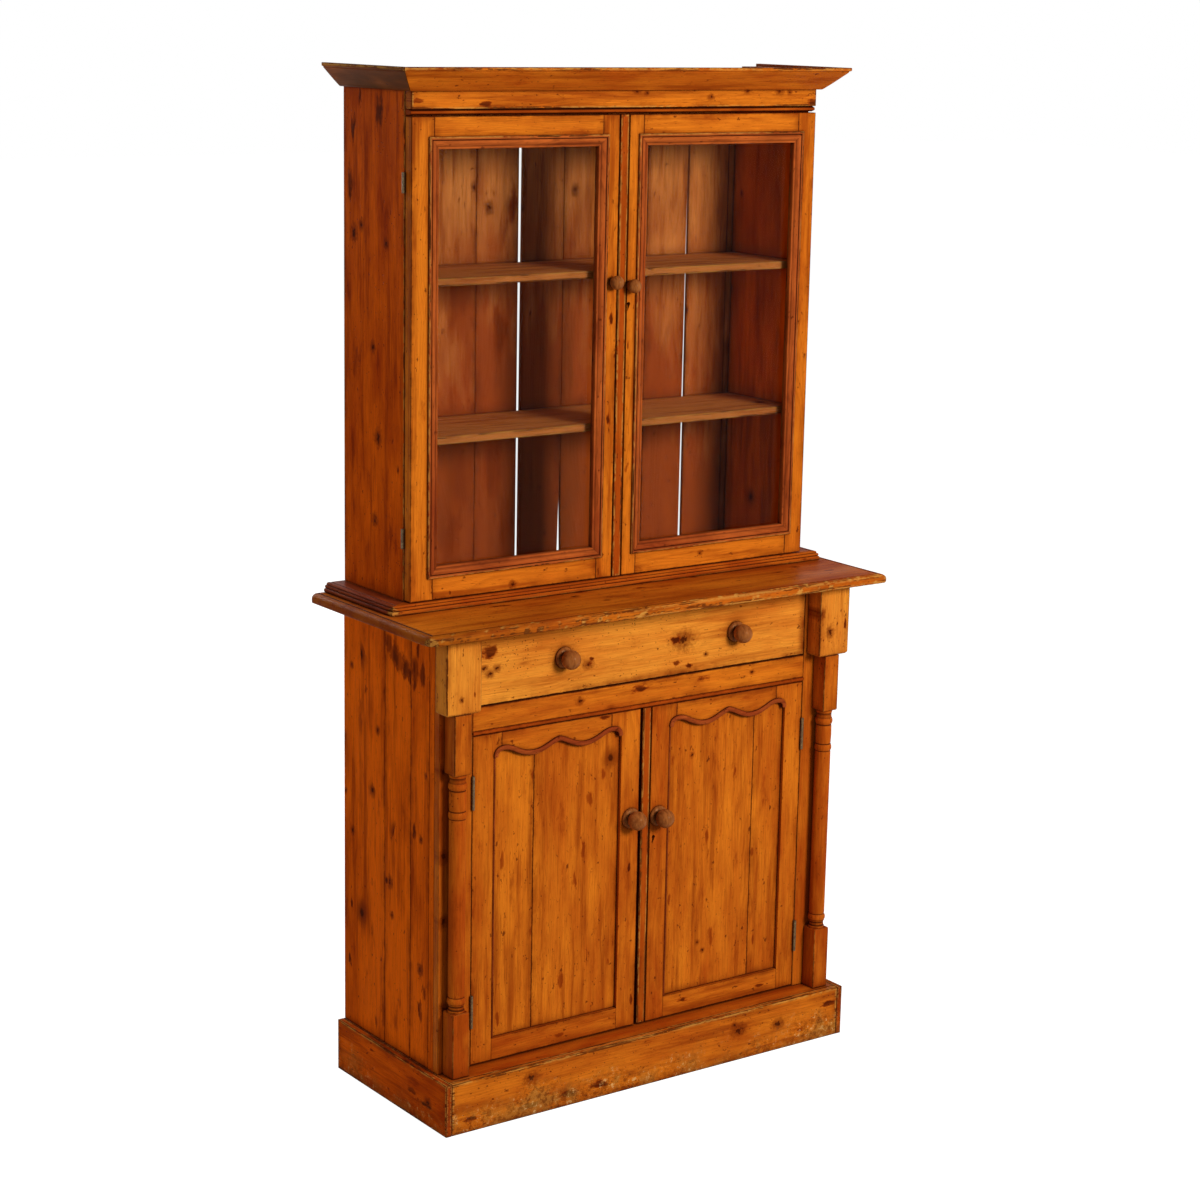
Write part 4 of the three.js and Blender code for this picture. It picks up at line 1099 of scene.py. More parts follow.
class CUPBOARD_OT_upper_case(bpy.types.Operator):
    """Make the sides, shelves, floor, roof and back of the upper case"""

    bl_idname = "cupboard.upper_case"
    bl_label = "Upper Case"
    bl_options = {"REGISTER", "UNDO"}

    # Places in the picture: pixels across and down, and radius in millimetres
    side_marks = ((354, 233, 5), (386, 244, 3.5), (373, 347, 3.5), (378, 438, 5), (375, 520, 4),
                  (398, 470, 2))
    side_stains = ((379, 112, 15), (353, 127, 10), (404, 103, 7), (360, 96, 8), (350, 180, 14),
                   (404, 130, 6))
    plank_marks = {2: ((474, 187, 3),), 3: ((489, 208, 4), (512, 206, 5)), 4: ((521, 208, 3),),
                   5: ((575, 190, 4),), 7: ((716, 172, 3.5), (712, 310, 3))}
    plank_stains = {2: ((455, 305, 30), (460, 480, 36), (450, 540, 30)),
                    3: ((512, 206, 14), (500, 330, 26), (492, 470, 30), (505, 530, 26)),
                    6: ((660, 300, 26), (655, 360, 20), (650, 480, 30)),
                    7: ((705, 330, 24), (700, 480, 32), (690, 520, 22))}
    seam_pitch = 0.109
    seam_offset = 0.028
    # Seams counted from the middle one, with the open width at the foot and at the head, and the height
    # of the head
    open_seams = {-1: (0.0085, 0.010, 0.905), 0: (0.011, 0.0, 0.24), 3: (0.0095, 0.0045, 0.905)}
    # A seam that is open at its head closes over this height above it
    closing = 0.02
    # Tone, film of painted shade and lean of the tone of each plank
    plank_looks = ((0.85, 0.1, -2.6), (0.95, 0.12, -2.6), (0.85, 0.12, -2.6), (0.9, 0.08, -2.6),
                   (0.95, 0.12, -2.6), (1.1, 0.3, -2.6), (0.95, 0.1, -2.6), (0.7, 0.08, -1.8),
                   (0.5, 0.04, -1.8), (0.4, 0.0, -1.8))

    def execute(self, context):
        for word in SIDES:
            marks = self.side_marks if word == "left" else ()
            stains = self.side_stains if word == "left" else ()
            node_board(f"upper_side_{word}", Z, "carcass", "dark_pine", tone=0.5, wear=0.5, knots=0.15,
                       marks=marks, stains=stains, rounding=0.0016)
        for node, tone in (("upper_roof", 0.6), ("upper_floor", 0.6), ("shelf_high", -0.2),
                           ("shelf_low", -0.2)):
            node_board(node, X, "carcass", "inner_pine", tone=tone, knots=0.1, rounding=0.0014, wear=0.4,
                       joint=0.2, dirt=0.6)
        self.back()
        return {"FINISHED"}

    def back(self):
        """Upright boards with open joints that let the light through."""
        low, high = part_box("upper_back")
        seams = range(-4, 5)
        for i, (tone, smoke, lean) in enumerate(self.plank_looks):
            left = self.edge_of(i - 5, 1, low, high, seams)
            right = self.edge_of(i - 4, -1, low, high, seams)
            bm = outline_board([*left, *reversed(right)], Vector((0, high.y - low.y, 0)))
            soften(bm, SMALL_ROUNDING)
            shaped(f"upper_back_plank_{i + 1}", bm, Z, "carcass", "inner_pine", ["upper_back"],
                   tone=tone, knots=0.15, marks=self.plank_marks.get(i, ()),
                   stains=self.plank_stains.get(i, ()), lean=lean, strength=0.85, smoke=smoke)

    def edge_of(self, seam, side, low, high, seams):
        """One edge of a plank, from its foot to its head."""
        x = self.seam_offset + seam * self.seam_pitch
        if seam not in seams:
            x = low.x if side > 0 else high.x
        foot, head, height = self.open_seams.get(seam, (0, 0, 0.5))
        points = [(x + side * foot / 2, low.z), (x + side * head / 2, low.z + height)]
        if head:
            points.append((x, low.z + height + self.closing))
        points.append((x, high.z))
        return [Vector((px, low.y, pz)) for px, pz in points]


class CUPBOARD_OT_mouldings(bpy.types.Operator):
    """Make the crown, the frieze and the waist moulding"""

    bl_idname = "cupboard.mouldings"
    bl_label = "Mouldings"
    bl_options = {"REGISTER", "UNDO"}

    # Places in the picture: pixels across and down, and radius in millimetres
    crown_marks = ((487, 75, 2), (746, 67, 2))
    frieze_marks = ((637, 91, 2.5), (647, 93, 1.8), (711, 97, 2.5), (748, 91, 2.5), (780, 91, 3),
                    (790, 92, 2))
    frieze_stains = ((419, 101, 7), (813, 103, 7), (484, 104, 5), (424, 90, 4))
    bead_height = 0.0115
    chip_height = 0.008
    chip_slices = (0.012, 0.026)
    chip_reach = 0.016
    chip_depth = 0.005
    waist_reach = 30
    # Share of the reach and height in millimetres
    waist_outline = ((0, 0), (0.955, 0), (0.985, 0.9), (1, 2.6), (1, 5), (0.985, 7), (0.955, 8.2),
                     (0.93, 8.2), (0.925, 9.2), (0.945, 10.2), (0.95, 12), (0.935, 13.8), (0.9, 14.6),
                     (0.87, 14.6), (0.865, 15.4), (0.87, 17), (0.85, 18.6), (0.8, 19.5), (0.7, 19.5),
                     (0.675, 18.4), (0.65, 18.4), (0.63, 19.5), (0, 19.5))

    def execute(self, context):
        self.crown()
        self.frieze()
        self.waist()
        return {"FINISHED"}

    def crown(self):
        # The crown's returns get a film of painted shade, the left one most
        for node, grain, smoke in (("crown_front", X, 0.0), ("crown_left", Y, 0.6),
                                   ("crown_right", Y, 0.2)):
            bm = node_bmesh(node)
            soften(bm, SMALL_ROUNDING)
            shaped(f"{node}_length", bm, grain, "carcass", "front_pine", [node], tone=0.55, knots=0.0,
                   wear=0.7, smoke=smoke, marks=self.crown_marks if node == "crown_front" else ())

    def frieze(self):
        low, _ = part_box("frieze")
        bead_top = low.z + self.bead_height
        bm = part_of("frieze", z=(bead_top, None))
        soften(bm, SMALL_ROUNDING)
        shaped("frieze_board", bm, X, "carcass", "front_pine", ["frieze"], tone=0.0, wear=0.5, knots=0.0,
               marks=self.frieze_marks, stains=self.frieze_stains)
        bm = part_of("frieze", z=(None, bead_top))
        soften(bm, SMALL_ROUNDING)
        shaped("frieze_bead", bm, X, "carcass", "front_pine", ["frieze"], tone=0.9, knots=0.0)

    def waist(self):
        """Three lengths with mitred corners."""
        low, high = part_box("waist_moulding")
        side_low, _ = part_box("upper_side_left")
        half = -side_low.x
        front = side_low.y
        side_reach = -low.x - half
        front_reach = front - low.y
        seat = 0.0002

        def corner(sign, at_front, shift):
            points = []
            for share, up in self.waist_outline:
                x = sign * (half + seat + share * (side_reach - seat))
                y = front - seat - share * (front_reach - seat) if at_front else high.y
                points.append(Vector((x, y, low.z + up * MM)) + shift)
            return points

        gap = 0.0002
        lengths = (
            ("left", Y, corner(-1, False, Vector()), corner(-1, True, Vector((0, gap, 0)))),
            ("front", X, corner(-1, True, Vector((gap, 0, 0))), corner(1, True, Vector((-gap, 0, 0)))),
            ("right", Y, corner(1, True, Vector((0, gap, 0))), corner(1, False, Vector())),
        )
        for word, grain, near, far in lengths:
            outline = [(share * self.waist_reach, up) for share, up in self.waist_outline]
            bm = bridged([near, far], dirt=hollows(outline))
            self.chip(bm, low, grain)
            # The side lengths take the darker trim pine, as painted shade on the returns
            shaped(f"waist_moulding_{word}", bm, grain, "carcass",
                   "trim_pine" if word != "front" else "front_pine", ["waist_moulding"], smooth=0.5,
                   tone=0.75, knots=0.0, wear=0.4, joint=0.4)

    def chip(self, bm, low, grain):
        """The front left corner has lost a little wood."""
        corner = Vector((low.x, low.y, low.z + self.chip_height))
        slice_across(bm, corner, grain, self.chip_slices)
        chipped = bm.verts.layers.float.new("chipped")
        for v in bm.verts:
            lost = max(0.0, 1 - (v.co - corner).length / self.chip_reach)
            v[chipped] = min(1.0, 2 * lost)
            v.co.x += self.chip_depth * lost
            v.co.y += self.chip_depth * lost


class CUPBOARD_OT_doors(bpy.types.Operator):
    """Make the four doors"""

    bl_idname = "cupboard.doors"
    bl_label = "Doors"
    bl_options = {"REGISTER", "UNDO"}

    bead_width = 0.020
    # Rounding of a closing bead's left and right edges, and how near its left side an edge counts as left
    bead_roundings = (0.0028, 0.0055)
    bead_side = 0.001
    long_edge = 0.1
    # Painted shade of the gap lies this near the bead's left side and farther than this behind its front
    dirt_width = 0.0004
    dirt_start = 0.0018
    # Width of each frame beside its opening, left and right, and at its foot and head
    upper_edges = {"left": (0.051, 0.040), "right": (0.057, 0.045)}
    lower_edges = {"left": (0.050, 0.0515), "right": (0.0675, 0.0455)}
    upper_foot = 0.056
    upper_head = 0.051
    lower_foot = 0.046
    lower_head = 0.028
    # A stile ends this far below the top of the opening, where the head of the frame takes over
    head_drop = 0.03
    # The foot rail is cut this far above the foot of the opening
    foot_rise = 0.001
    left_ear = 0.019
    right_ear = 0.026
    # Distance into the opening and out from the frame's face, in millimetres
    glazing_outline = ((0, 0.2), (0, 2.6), (0.5, 4.1), (1.8, 5), (4.2, 5), (5.6, 4.3), (6.3, 3.1),
                       (7.1, 2.9), (7.9, 3.8), (9.6, 4.3), (11.6, 4), (14, 2.7), (16.6, 1.2), (19, 0.5),
                       (21.4, 0.6), (23.2, 0.1), (24, -1.6), (24, -11.8), (13.3, -11.8), (13.3, 0.2))
    lap = 13
    # Half of the scalloped head: shares of the opening's width and of the scallops' depth
    scallop_shares = ((0, -1), (0, -0.3), (0.03, 0), (0.085, 0), (0.15, 0), (0.2, -0.95), (0.3, -0.95),
                      (0.38, -0.95), (0.43, -0.2), (0.5, 0))
    scallop_depth = 0.021
    # Reach into the opening and distance out from the frame's face, in millimetres
    strip_outline = ((-1, -7.9), (9.4, -7.9), (9.4, 0.6), (9, 2.6), (7.6, 4.2), (4.2, 4.9), (0.8, 4.2),
                     (-0.6, 2.6), (-1, 0.6))
    # Painted shade at each point of the strip's outline, most where it meets the frame's face
    strip_dirt = (0, 0, 1, 0.5, 0, 0, 0, 0.5, 1)
    # Corners of the thin strip, from the foot of the panel's left edge and from its head
    side_strip = ((-0.0005, -0.0012, 0.001), (0.0042, 0.0082, 0.001))
    # The least cosine that a mitre between two lengths of the strip is drawn with
    least_mitre = 0.6
    # A left door's closing stile ends this far short of its solid
    meeting_gap = {"upper": 0.0006, "lower": 0.005}
    # Places in the picture: pixels across and down, and radius in millimetres
    upper_panel_rail = {"left": ((513, 584, 3),), "right": ((700, 553, 2), (745, 560, 2))}
    upper_stile_stains = {"left": ((611, 320, 4), (608, 420, 5)), "right": ((628, 345, 4), (626, 470, 6))}
    top_rail_stains = {"left": ((508, 722, 3), (604, 718, 4)), "right": ((676, 705, 4), (770, 703, 3))}
    lower_stile_stains = {"left": ((618, 793, 4), (631, 1000, 4), (629, 868, 3)), "right": ((661, 745, 4),)}
    bottom_rail_stains = {"left": ((560, 1035, 5),), "right": ((682, 1000, 5), (760, 985, 4))}
    panel_marks = ((692, 755, 2), (697, 942, 2), (702, 950, 2))
    # Tone, chance of knots and stains of each board
    panel_boards = {
        "left": (
            (0.3, 0.0, ((532, 775, 6), (533, 850, 6), (497, 1020, 5), (502, 860, 6), (532, 1000, 6),
                        (532, 930, 5))),
            (0.4, 0.05, ((603, 775, 5), (583, 850, 7), (560, 980, 7), (575, 880, 7), (608, 960, 4),
                         (590, 800, 7)))),
        "right": (
            (0.4, 0.0, ((672, 760, 6), (669, 900, 5), (706, 840, 6), (708, 855, 6), (735, 770, 7),
                        (710, 935, 7))),
            (0.4, 0.05, ((790, 760, 3), (752, 850, 4), (778, 900, 4), (753, 940, 4), (764, 800, 6),
                         (778, 850, 5)))),
    }
    panel_seam = {"left": -0.269, "right": 0.298}
    # The frame hides this much of the panel's outer edges
    panel_lap = 0.0078
    keyhole_drop = 0.045
    # Case and bolt of a lock: start and end from the door's edge, depth, thickness, half height, rounding
    lock_parts = ((0.003, 0.053, 0.0, 0.009, 0.03, 0.001), (0.0005, 0.006, 0.002, 0.0045, 0.008, 0.0005))

    def execute(self, context):
        for word in SIDES:
            self.upper_door(f"upper_{word}_door", word)
            self.lower_door(f"lower_{word}_door", word)
        return {"FINISHED"}

    def strip(self, body, near, far):
        """The rounded closing strip of a right-hand door."""
        bm = part_of(f"{body}_frame", x=(near, far))
        front = min(v.co.y for v in bm.verts)
        left = min(v.co.x for v in bm.verts)
        for at_left, rounding in zip((True, False), self.bead_roundings):
            chosen = [e for e in bm.edges if all(v.co.y < front + WELD for v in e.verts)
                      and abs(e.verts[0].co.z - e.verts[1].co.z) > self.long_edge
                      and all((v.co.x < left + self.bead_side) == at_left for v in e.verts)]
            soften(bm, rounding, segments=4, chosen=chosen)
        layer = bm.verts.layers.float.new("hollow")
        for v in bm.verts:
            inside = v.co.x < left + self.dirt_width and v.co.y > front + self.dirt_start
            v[layer] = 1.0 if inside else 0.0
        shaped(f"{body}_closing_bead", bm, Z, body, "front_pine", [f"{body}_frame"], smooth=0.5, tone=1.0,
               knots=0.0, wear=0.5, pits=0.1, joint=0.2 if "upper" in body else 1.0)

    def rail_pieces(self, body, opening, head_span, tones, seen):
        """The stiles stand outside the opening and the rails between them."""
        frame_node = f"{body}_frame"
        x0, x1, z0, z1 = opening
        head_foot = z1 - self.head_drop
        low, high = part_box(frame_node)
        stiles = (("outer_stile" if "left" in body else "closing_stile", (None, x0), (None, head_span[0])),
                  ("closing_stile" if "left" in body else "outer_stile", (x1, None), (head_span[1], None)))
        for i, (word, span, head) in enumerate(stiles):
            parts = [part_of(frame_node, x=span, z=(None, head_foot)),
                     part_of(frame_node, x=head, z=(head_foot, None))]
            if "right" in body and i == 0:
                for bm in parts:
                    cut(bm, X * (low.x + self.bead_width), -X)
            if "left" in body and i == 1:
                for bm in parts:
                    cut(bm, X * (high.x - self.meeting_gap[body.split("_")[0]]), X)
            bm = joined(parts)
            bmesh.ops.remove_doubles(bm, verts=bm.verts, dist=WELD)
            soften(bm, FRAME_ROUNDING, least_angle=1.0)
            shaped(f"{body}_{word}", bm, Z, body, "front_pine", [frame_node], tone=tones[i], knots=0.05,
                   **seen.get(word, {}))
        for word, span, height, tone in (("top_rail", head_span, (head_foot, None), tones[2]),
                                         ("bottom_rail", (x0, x1), (None, z0 + self.foot_rise), tones[3])):
            bm = part_of(frame_node, x=span, z=height)
            soften(bm, FRAME_ROUNDING, least_angle=1.0)
            shaped(f"{body}_{word}", bm, X, body, "front_pine", [frame_node], tone=tone, knots=0.05,
                   **seen.get(word, {}))
        if "right" in body:
            self.strip(body, None, low.x + self.bead_width)

    def upper_door(self, body, word):
        low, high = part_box(f"{body}_frame")
        left, right = self.upper_edges[word]
        opening = (low.x + left, high.x - right, low.z + self.upper_foot, high.z - self.upper_head)
        seen = {
            "bottom_rail": {"marks": self.upper_panel_rail[word]},
            "closing_stile": {"stains": self.upper_stile_stains[word]},
        }
        self.rail_pieces(body, opening, opening[:2], (0.05, 0.25, 0.1, 0.0), seen)
        self.glazing(body, low.y, opening)
        low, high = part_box(f"{body}_glass")
        finish_piece(f"{body}_pane", box_bmesh(low, high, 0), body, "pane_glass", [f"{body}_glass"])
        if word == "right":
            self.lock(body)

    def glazing(self, body, face, opening):
        """Four mitred lengths of moulding round the pane."""
        x0, x1, z0, z1 = opening
        corners = ((x0, z0, 1, 1), (x1, z0, -1, 1), (x1, z1, -1, -1), (x0, z1, 1, -1))
        words = ("foot", "right", "head", "left")
        mitre = 0.00015

        def ring(corner, along):
            x, z, right, up = corner
            points = []
            for into, out in self.glazing_outline:
                d = (into - self.lap) * MM
                points.append(Vector((x + right * d, face - out * MM, z + up * d)) + along * mitre)
            return points

        for i, word in enumerate(words):
            near, far = corners[i], corners[(i + 1) % 4]
            grain = X if word in ("foot", "head") else Z
            along = (Vector((far[0], 0, far[1])) - Vector((near[0], 0, near[1]))).normalized()
            # Painted shade in the moulding's hollows, and all of it where the moulding meets the frame
            dirt = [1.0, *hollows(self.glazing_outline)[1:]]
            bm = bridged([ring(near, along), ring(far, -along)], dirt=dirt)
            shaped(f"{body}_glazing_{word}", bm, grain, body, "trim_pine", [f"{body}_glazing_moulding"],
                   smooth=0.5, tone=-0.2 if word == "head" else 0.4, knots=0.0, joint=0.5, wear=0.4)

    def lower_door(self, body, word):
        low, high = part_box(f"{body}_frame")
        left, right = self.lower_edges[word]
        opening = (low.x + left, high.x - right, low.z + self.lower_foot, high.z - self.lower_head)
        head_span = (opening[0] + self.left_ear, opening[1] - self.right_ear)
        seen = {
            "top_rail": {"stains": self.top_rail_stains[word]},
            "closing_stile": {"stains": self.lower_stile_stains[word]},
            "bottom_rail": {"stains": self.bottom_rail_stains[word]},
        }
        self.rail_pieces(body, opening, head_span, (0.6, 0.55, 0.35, 0.5), seen)
        self.scalloped_strip(body, low.y, opening)
        self.panel(body, word)
        if word == "right":
            self.lock(body)

    def scallop_line(self, opening):
        """The scalloped head of the opening, from its left edge to its right edge."""
        x0, x1, _, z1 = opening
        points = [Vector((x0 + a * (x1 - x0), 0, z1 + b * self.scallop_depth))
                  for a, b in self.scallop_shares]
        half = [points[0]]
        for i in range(0, len(points) - 3, 3):
            half += geometry.interpolate_bezier(*points[i:i + 4], 9)[1:]
        return half + [Vector((x0 + x1 - p.x, 0, p.z)) for p in reversed(half[:-1])]

    def scalloped_strip(self, body, face, opening):
        """Rounded strip along the scallops, and a thin one down the left edge of the panel."""
        line = self.scallop_line(opening)
        rings = []
        for i, point in enumerate(line):
            into = (point - line[i - 1]).normalized() if i else Z.copy()
            out = (line[i + 1] - point).normalized() if i < len(line) - 1 else -Z
            along = (into + out).normalized()
            inward = Vector((along.z, 0, -along.x)) / max(along.dot(out), self.least_mitre)
            rings.append([point + inward * (reach * MM) + Vector((0, face - proud * MM, 0))
                          for reach, proud in self.strip_outline])
        node = f"{body}_panel_moulding"
        bm = bridged(rings, dirt=self.strip_dirt)
        shaped(f"{body}_scalloped_strip", bm, X, body, "trim_pine", [node], smooth=0.75, tone=0.75,
               knots=0.0, joint=0.0, dirt=1.2)
        x0, _, z0, z1 = opening
        ends = ((x0, face, z0), (x0, face, z1 - self.scallop_depth))
        near, far = [tuple(a + b for a, b in zip(*pair)) for pair in zip(ends, self.side_strip)]
        # The thin side strip gets strong painted shade
        board(f"{body}_side_strip", near, far, Z, body, "trim_pine", [node], rounding=0.0015, tone=1.0,
              knots=0.0, joint=0.8, dirt=1.6)

    def panel(self, body, word):
        """Two boards that meet at the seam."""
        node = f"{body}_panel"
        details = [{"tone": tone, "knots": knots, "stains": stains, "rings": 0.55, "strength": 0.62}
                   for tone, knots, stains in self.panel_boards[word]]
        if word == "right":
            details[0]["marks"] = self.panel_marks
        planks(f"{node}_plank", node, [self.panel_seam[word]], body, "front_pine", details,
               hidden=self.panel_lap)

    def lock(self, body):
        """An iron lock let on inside, behind the keyhole."""
        low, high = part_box(f"{body}_frame")
        knob_low, knob_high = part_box(f"{body}_knob")
        middle = (knob_low.z + knob_high.z) / 2 - self.keyhole_drop
        parts = []
        for start, end, depth, thickness, half, rounding in self.lock_parts:
            near = Vector((low.x + start, high.y + depth, middle - half))
            far = Vector((low.x + end, high.y + depth + thickness, middle + half))
            parts.append(box_bmesh(near, far, rounding))
        finish_piece(f"{body}_lock", joined(parts), body, "old_steel", [f"{body}_frame"])


class CUPBOARD_OT_drawer(bpy.types.Operator):
    """Make the drawer"""

    bl_idname = "cupboard.drawer"
    bl_label = "Drawer"
    bl_options = {"REGISTER", "UNDO"}

    # Places in the picture: pixels across and down, and radius in millimetres
    front_marks = ((588, 664, 4), (683, 640, 8), (484, 669, 3), (490, 674, 3.2), (497, 668, 3),
                   (706, 654, 2))
    front_stains = ((490, 652, 19), (592, 659, 4), (676, 663, 6), (676, 640, 10), (590, 664, 5),
                    (690, 665, 7))
    worm_holes = (521, 652, 52)

    def execute(self, context):
        # Strong painted shade and heavy joint lines stand for the shadow under the worktop's lip
        node_board("drawer_front", X, "drawer", "drawer_pine", tone=0.25, lean=0.3, wear=0.25, knots=0.0,
                   pits=0.3, joint=1.5, dirt=1.7, strength=1.1, stretch=0.75, heart=(-0.02, 0.05),
                   rounding=0.0014, marks=self.front_marks, stains=self.front_stains, nest=self.worm_holes)
        for word in SIDES:
            node_board(f"drawer_side_{word}", Y, "drawer", "inner_pine", tone=0.2)
        node_board("drawer_back", X, "drawer", "inner_pine", tone=0.3)
        node_board("drawer_bottom", X, "drawer", "inner_pine", tone=0.3, rounding=0.0004)
        return {"FINISHED"}


class CUPBOARD_OT_knobs(bpy.types.Operator):
    """Make the turned knobs"""

    bl_idname = "cupboard.knobs"
    bl_label = "Knobs"
    bl_options = {"REGISTER", "UNDO"}

    # Flange, flange thickness, neck, ball and reach, in millimetres
    big = (21.5, 7, 10, 20, 45.5)
    small = (9, 3, 6, 14.5, 31)
    # Shares of the flange's radius and thickness, and of the neck's radius and the flange's thickness
    flange_outline = ((0.9, 0), (1, 0.16), (1, 0.5), (0.93, 0.8), (0.74, 1))
    neck_outline = ((1.12, 1.25), (1, 1.6))
    # The ball starts this much past the neck. A fine line runs round it at a share of its radius.
    ball_start = 0.08
    steps = 18
    line_radius = 0.62
    line_width = 0.06
    line_depth = 0.0004

    def execute(self, context):
        for word in SIDES:
            self.knob(f"upper_{word}_door_knob", f"upper_{word}_door", self.small)
            self.knob(f"lower_{word}_door_knob", f"lower_{word}_door", self.big)
            self.knob(f"drawer_knob_{word}", "drawer", self.big)
        return {"FINISHED"}

    def knob(self, node, body, sizes):
        flange, thick, neck, ball, reach = [size * MM for size in sizes]
        profile = [(0, 0), *((flange * a, thick * b) for a, b in self.flange_outline),
                   *((neck * a, thick * b) for a, b in self.neck_outline)]
        centre = reach - ball
        start = math.asin(neck / ball) + self.ball_start
        for i in range(self.steps + 1):
            angle = start + (math.pi - start) * i / self.steps
            radius = ball * math.sin(angle)
            out = centre - ball * math.cos(angle)
            if abs(radius - ball * self.line_radius) < ball * self.line_width and angle > math.pi / 2:
                out -= self.line_depth
            profile.append((max(radius, 0.0), out))
        profile[-1] = (0, reach)
        low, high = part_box(node)
        place = Vector(((low.x + high.x) / 2, high.y, (low.z + high.z) / 2))
        bm = turned(profile, place, -Y)
        finish_piece(f"{node}_turning", bm, body, "knob_wood", [node], smooth=0.7)


class CUPBOARD_OT_hinges(bpy.types.Operator):
    """Make the hinges with their knuckles, pins and leaves"""

    bl_idname = "cupboard.hinges"
    bl_label = "Hinges"
    bl_options = {"REGISTER", "UNDO"}

    knuckles = 5
    radius = 0.0032
    slit = 0.0003
    half_leaf = 0.0004
    leaf_rounding = 0.0001
    # Shares of the radius: a knuckle's end, its chamfer and the pin
    rim_share = 0.86
    chamfer_share = 0.14
    pin_share = 0.55

    def execute(self, context):
        for tier in ("upper", "lower"):
            for side in SIDES:
                for word in ("bottom", "top"):
                    self.hinge(f"{tier}_{side}_hinge_{word}", tier, side == "left")
        return {"FINISHED"}

    def hinge(self, node, tier, at_left):
        low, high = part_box(node)
        r = self.radius
        if tier == "upper":
            x = low.x + r if at_left else high.x - r
            place = Vector((x, (low.y + high.y) / 2, 0))
            leaf = (Vector((x if at_left else low.x, place.y - self.half_leaf, low.z)),
                    Vector((high.x if at_left else x, place.y + self.half_leaf, high.z)))
        else:
            place = Vector(((low.x + high.x) / 2, low.y + r, 0))
            leaf = (Vector((place.x - self.half_leaf, low.y + r, low.z)),
                    Vector((place.x + self.half_leaf, high.y, high.z)))
        step = (high.z - low.z) / self.knuckles
        parts = [box_bmesh(*leaf, self.leaf_rounding)]
        for i in range(self.knuckles):
            foot, head = low.z + i * step, low.z + (i + 1) * step - self.slit
            rim, chamfer = r * self.rim_share, r * self.chamfer_share
            profile = [(0, foot), (rim, foot), (r, foot + chamfer), (r, head - chamfer), (rim, head),
                       (0, head)]
            parts.append(turned(profile, place, Z, steps=20))
        pin, head = r * self.pin_share, high.z - self.slit
        profile = [(0, low.z), (pin, low.z), (pin, head), (0, head)]
        parts.append(turned(profile, place, Z, steps=16))
        finish_piece(f"{node}_iron", joined(parts), "carcass", "old_steel", [node], smooth=0.7)


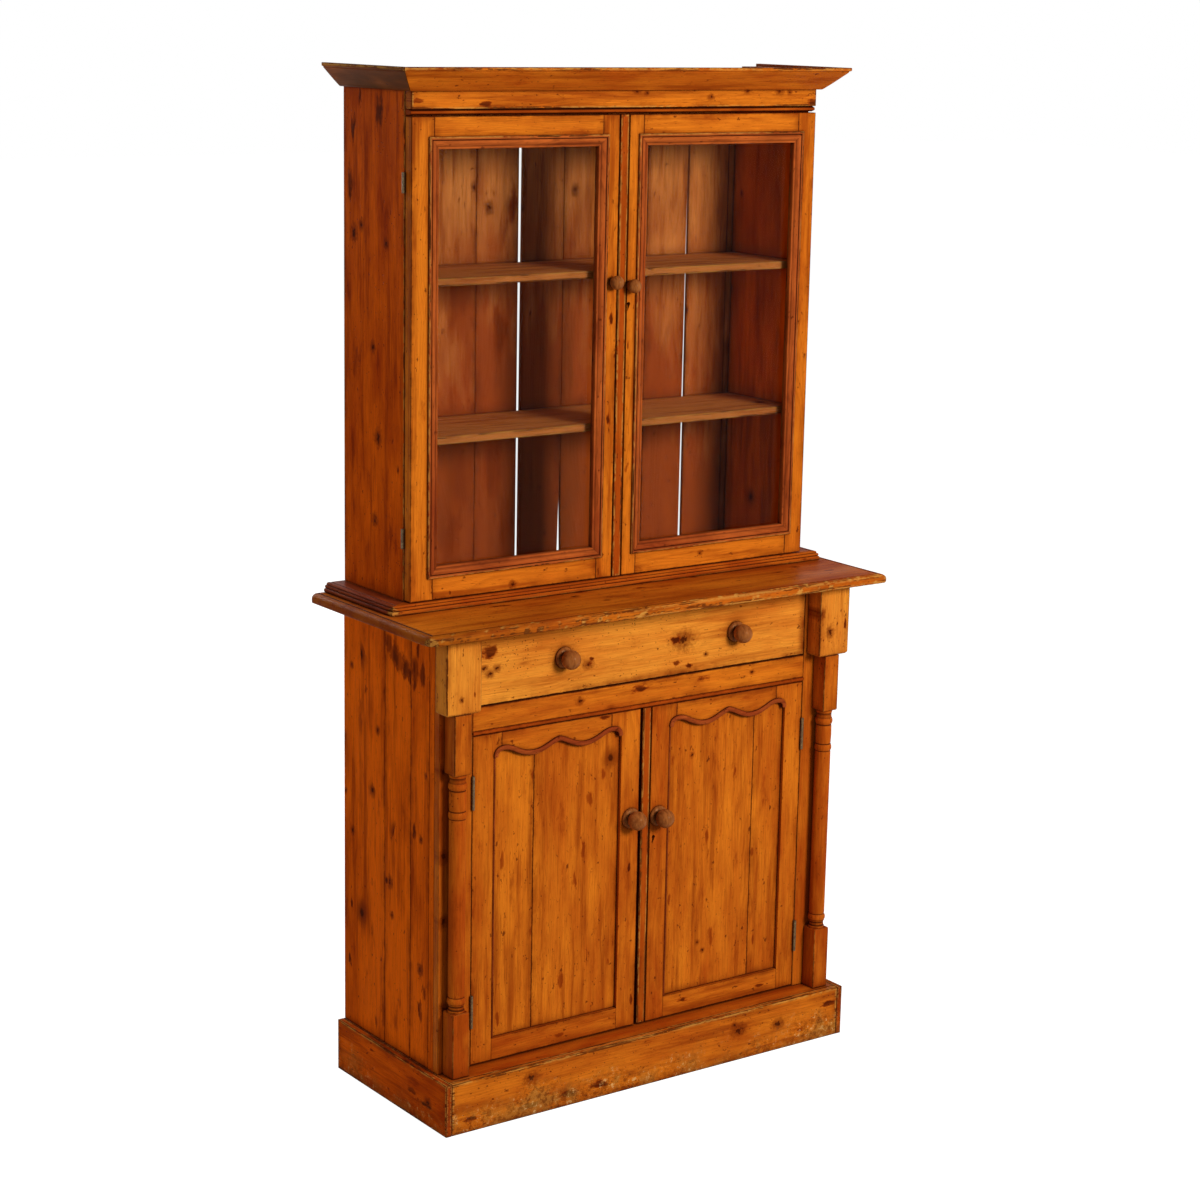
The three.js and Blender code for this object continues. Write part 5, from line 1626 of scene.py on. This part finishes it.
class CUPBOARD_OT_stage(bpy.types.Operator):
    """Make the floor, the lights, the world and the camera"""

    bl_idname = "cupboard.stage"
    bl_label = "Stage"
    bl_options = {"REGISTER", "UNDO"}

    aimed_at = Vector((0.0, 0.0, 1.1))
    floor_reach = 30.0
    floor_glow = 0.94

    def execute(self, context):
        stage = context.scene.cupboard_stage
        self.floor()
        self.world(stage.room_light)
        for name, power, place, size in (("key_light", stage.key_power, (0.9, -4.3, 2.7), 1.3),
                                         ("back_light", stage.back_power, (-0.3, 4.6, 2.1), 1.6),
                                         ("fill_light", stage.fill_power, (-4.0, -0.5, 1.8), 1.6)):
            self.lamp(name, power, place, size)
        self.camera(stage)
        context.scene.view_settings.view_transform = "Standard"
        return {"FINISHED"}

    def floor(self):
        bm = bmesh.new()
        bmesh.ops.create_grid(bm, x_segments=1, y_segments=1, size=self.floor_reach)
        mesh = bpy.data.meshes.new("floor")
        bm.to_mesh(mesh)
        bm.free()
        floor = bpy.data.objects.new("floor", mesh)
        bpy.context.scene.collection.objects.link(floor)
        material, g = cleared(bpy.data.materials.new("pale_floor"))
        paint = g.node("ShaderNodeBsdfDiffuse", Color=(0.4, 0.4, 0.4, 1))
        glow = g.node("ShaderNodeEmission", Color=(1, 1, 1, 1), Strength=self.floor_glow)
        both = g.node("ShaderNodeAddShader")
        g.put(both.inputs[0], paint.outputs[0])
        g.put(both.inputs[1], glow.outputs[0])
        g.surface(g.mixed(g.seen_straight(), paint, both))
        mesh.materials.append(material)

    def world(self, strength):
        world, g = cleared(bpy.data.worlds.new("studio"))
        even = g.node("ShaderNodeBackground", Color=(1, 1, 1, 1), Strength=strength)
        white = g.node("ShaderNodeBackground", Color=(1, 1, 1, 1), Strength=1.0)
        g.surface(g.mixed(g.seen_straight(), even, white), "ShaderNodeOutputWorld")
        bpy.context.scene.world = world

    def lamp(self, name, power, place, size):
        light = bpy.data.lights.new(name, "AREA")
        light.energy = power
        light.size = size
        lamp = bpy.data.objects.new(name, light)
        lamp.location = place
        aim = self.aimed_at - Vector(place)
        lamp.rotation_euler = aim.to_track_quat("-Z", "Y").to_euler()
        bpy.context.scene.collection.objects.link(lamp)

    def camera(self, stage):
        data = bpy.data.cameras.new("camera")
        data.sensor_width = SENSOR
        data.lens = stage.lens
        camera = bpy.data.objects.new("camera", data)
        camera.matrix_world = camera_matrix(stage)
        bpy.context.scene.collection.objects.link(camera)
        bpy.context.scene.camera = camera


OPERATORS = (
    CUPBOARD_OT_plinth, CUPBOARD_OT_lower_case, CUPBOARD_OT_countertop, CUPBOARD_OT_columns,
    CUPBOARD_OT_upper_case, CUPBOARD_OT_mouldings, CUPBOARD_OT_doors, CUPBOARD_OT_drawer,
    CUPBOARD_OT_knobs, CUPBOARD_OT_hinges, CUPBOARD_OT_stage,
)


class CUPBOARD_PT_panel(bpy.types.Panel):
    """Lists the settings and the pieces"""

    bl_label = "Step Back Cupboard"
    bl_idname = "CUPBOARD_PT_panel"
    bl_space_type = "VIEW_3D"
    bl_region_type = "UI"
    bl_category = "Cupboard"

    def draw(self, context):
        for settings in (context.scene.cupboard_wood, context.scene.cupboard_stage):
            box = self.layout.box()
            for key in settings.bl_rna.properties.keys():
                if key not in ("rna_type", "name"):
                    box.prop(settings, key)
        column = self.layout.column(align=True)
        for operator in OPERATORS:
            column.operator(operator.bl_idname)


CLASSES = (CupboardWood, CupboardStage, *OPERATORS, CUPBOARD_PT_panel)


def register():
    for item in CLASSES:
        bpy.utils.register_class(item)
    bpy.types.Scene.cupboard_wood = bpy.props.PointerProperty(type=CupboardWood)
    bpy.types.Scene.cupboard_stage = bpy.props.PointerProperty(type=CupboardStage)


def unregister():
    del bpy.types.Scene.cupboard_stage
    del bpy.types.Scene.cupboard_wood
    for item in reversed(CLASSES):
        bpy.utils.unregister_class(item)


def main():
    register()
    bpy.ops.cupboard.plinth()
    bpy.ops.cupboard.lower_case()
    bpy.ops.cupboard.countertop()
    bpy.ops.cupboard.columns()
    bpy.ops.cupboard.upper_case()
    bpy.ops.cupboard.mouldings()
    bpy.ops.cupboard.doors()
    bpy.ops.cupboard.drawer()
    bpy.ops.cupboard.knobs()
    bpy.ops.cupboard.hinges()
    bpy.ops.cupboard.stage()


if __name__ == "__main__":
    main()
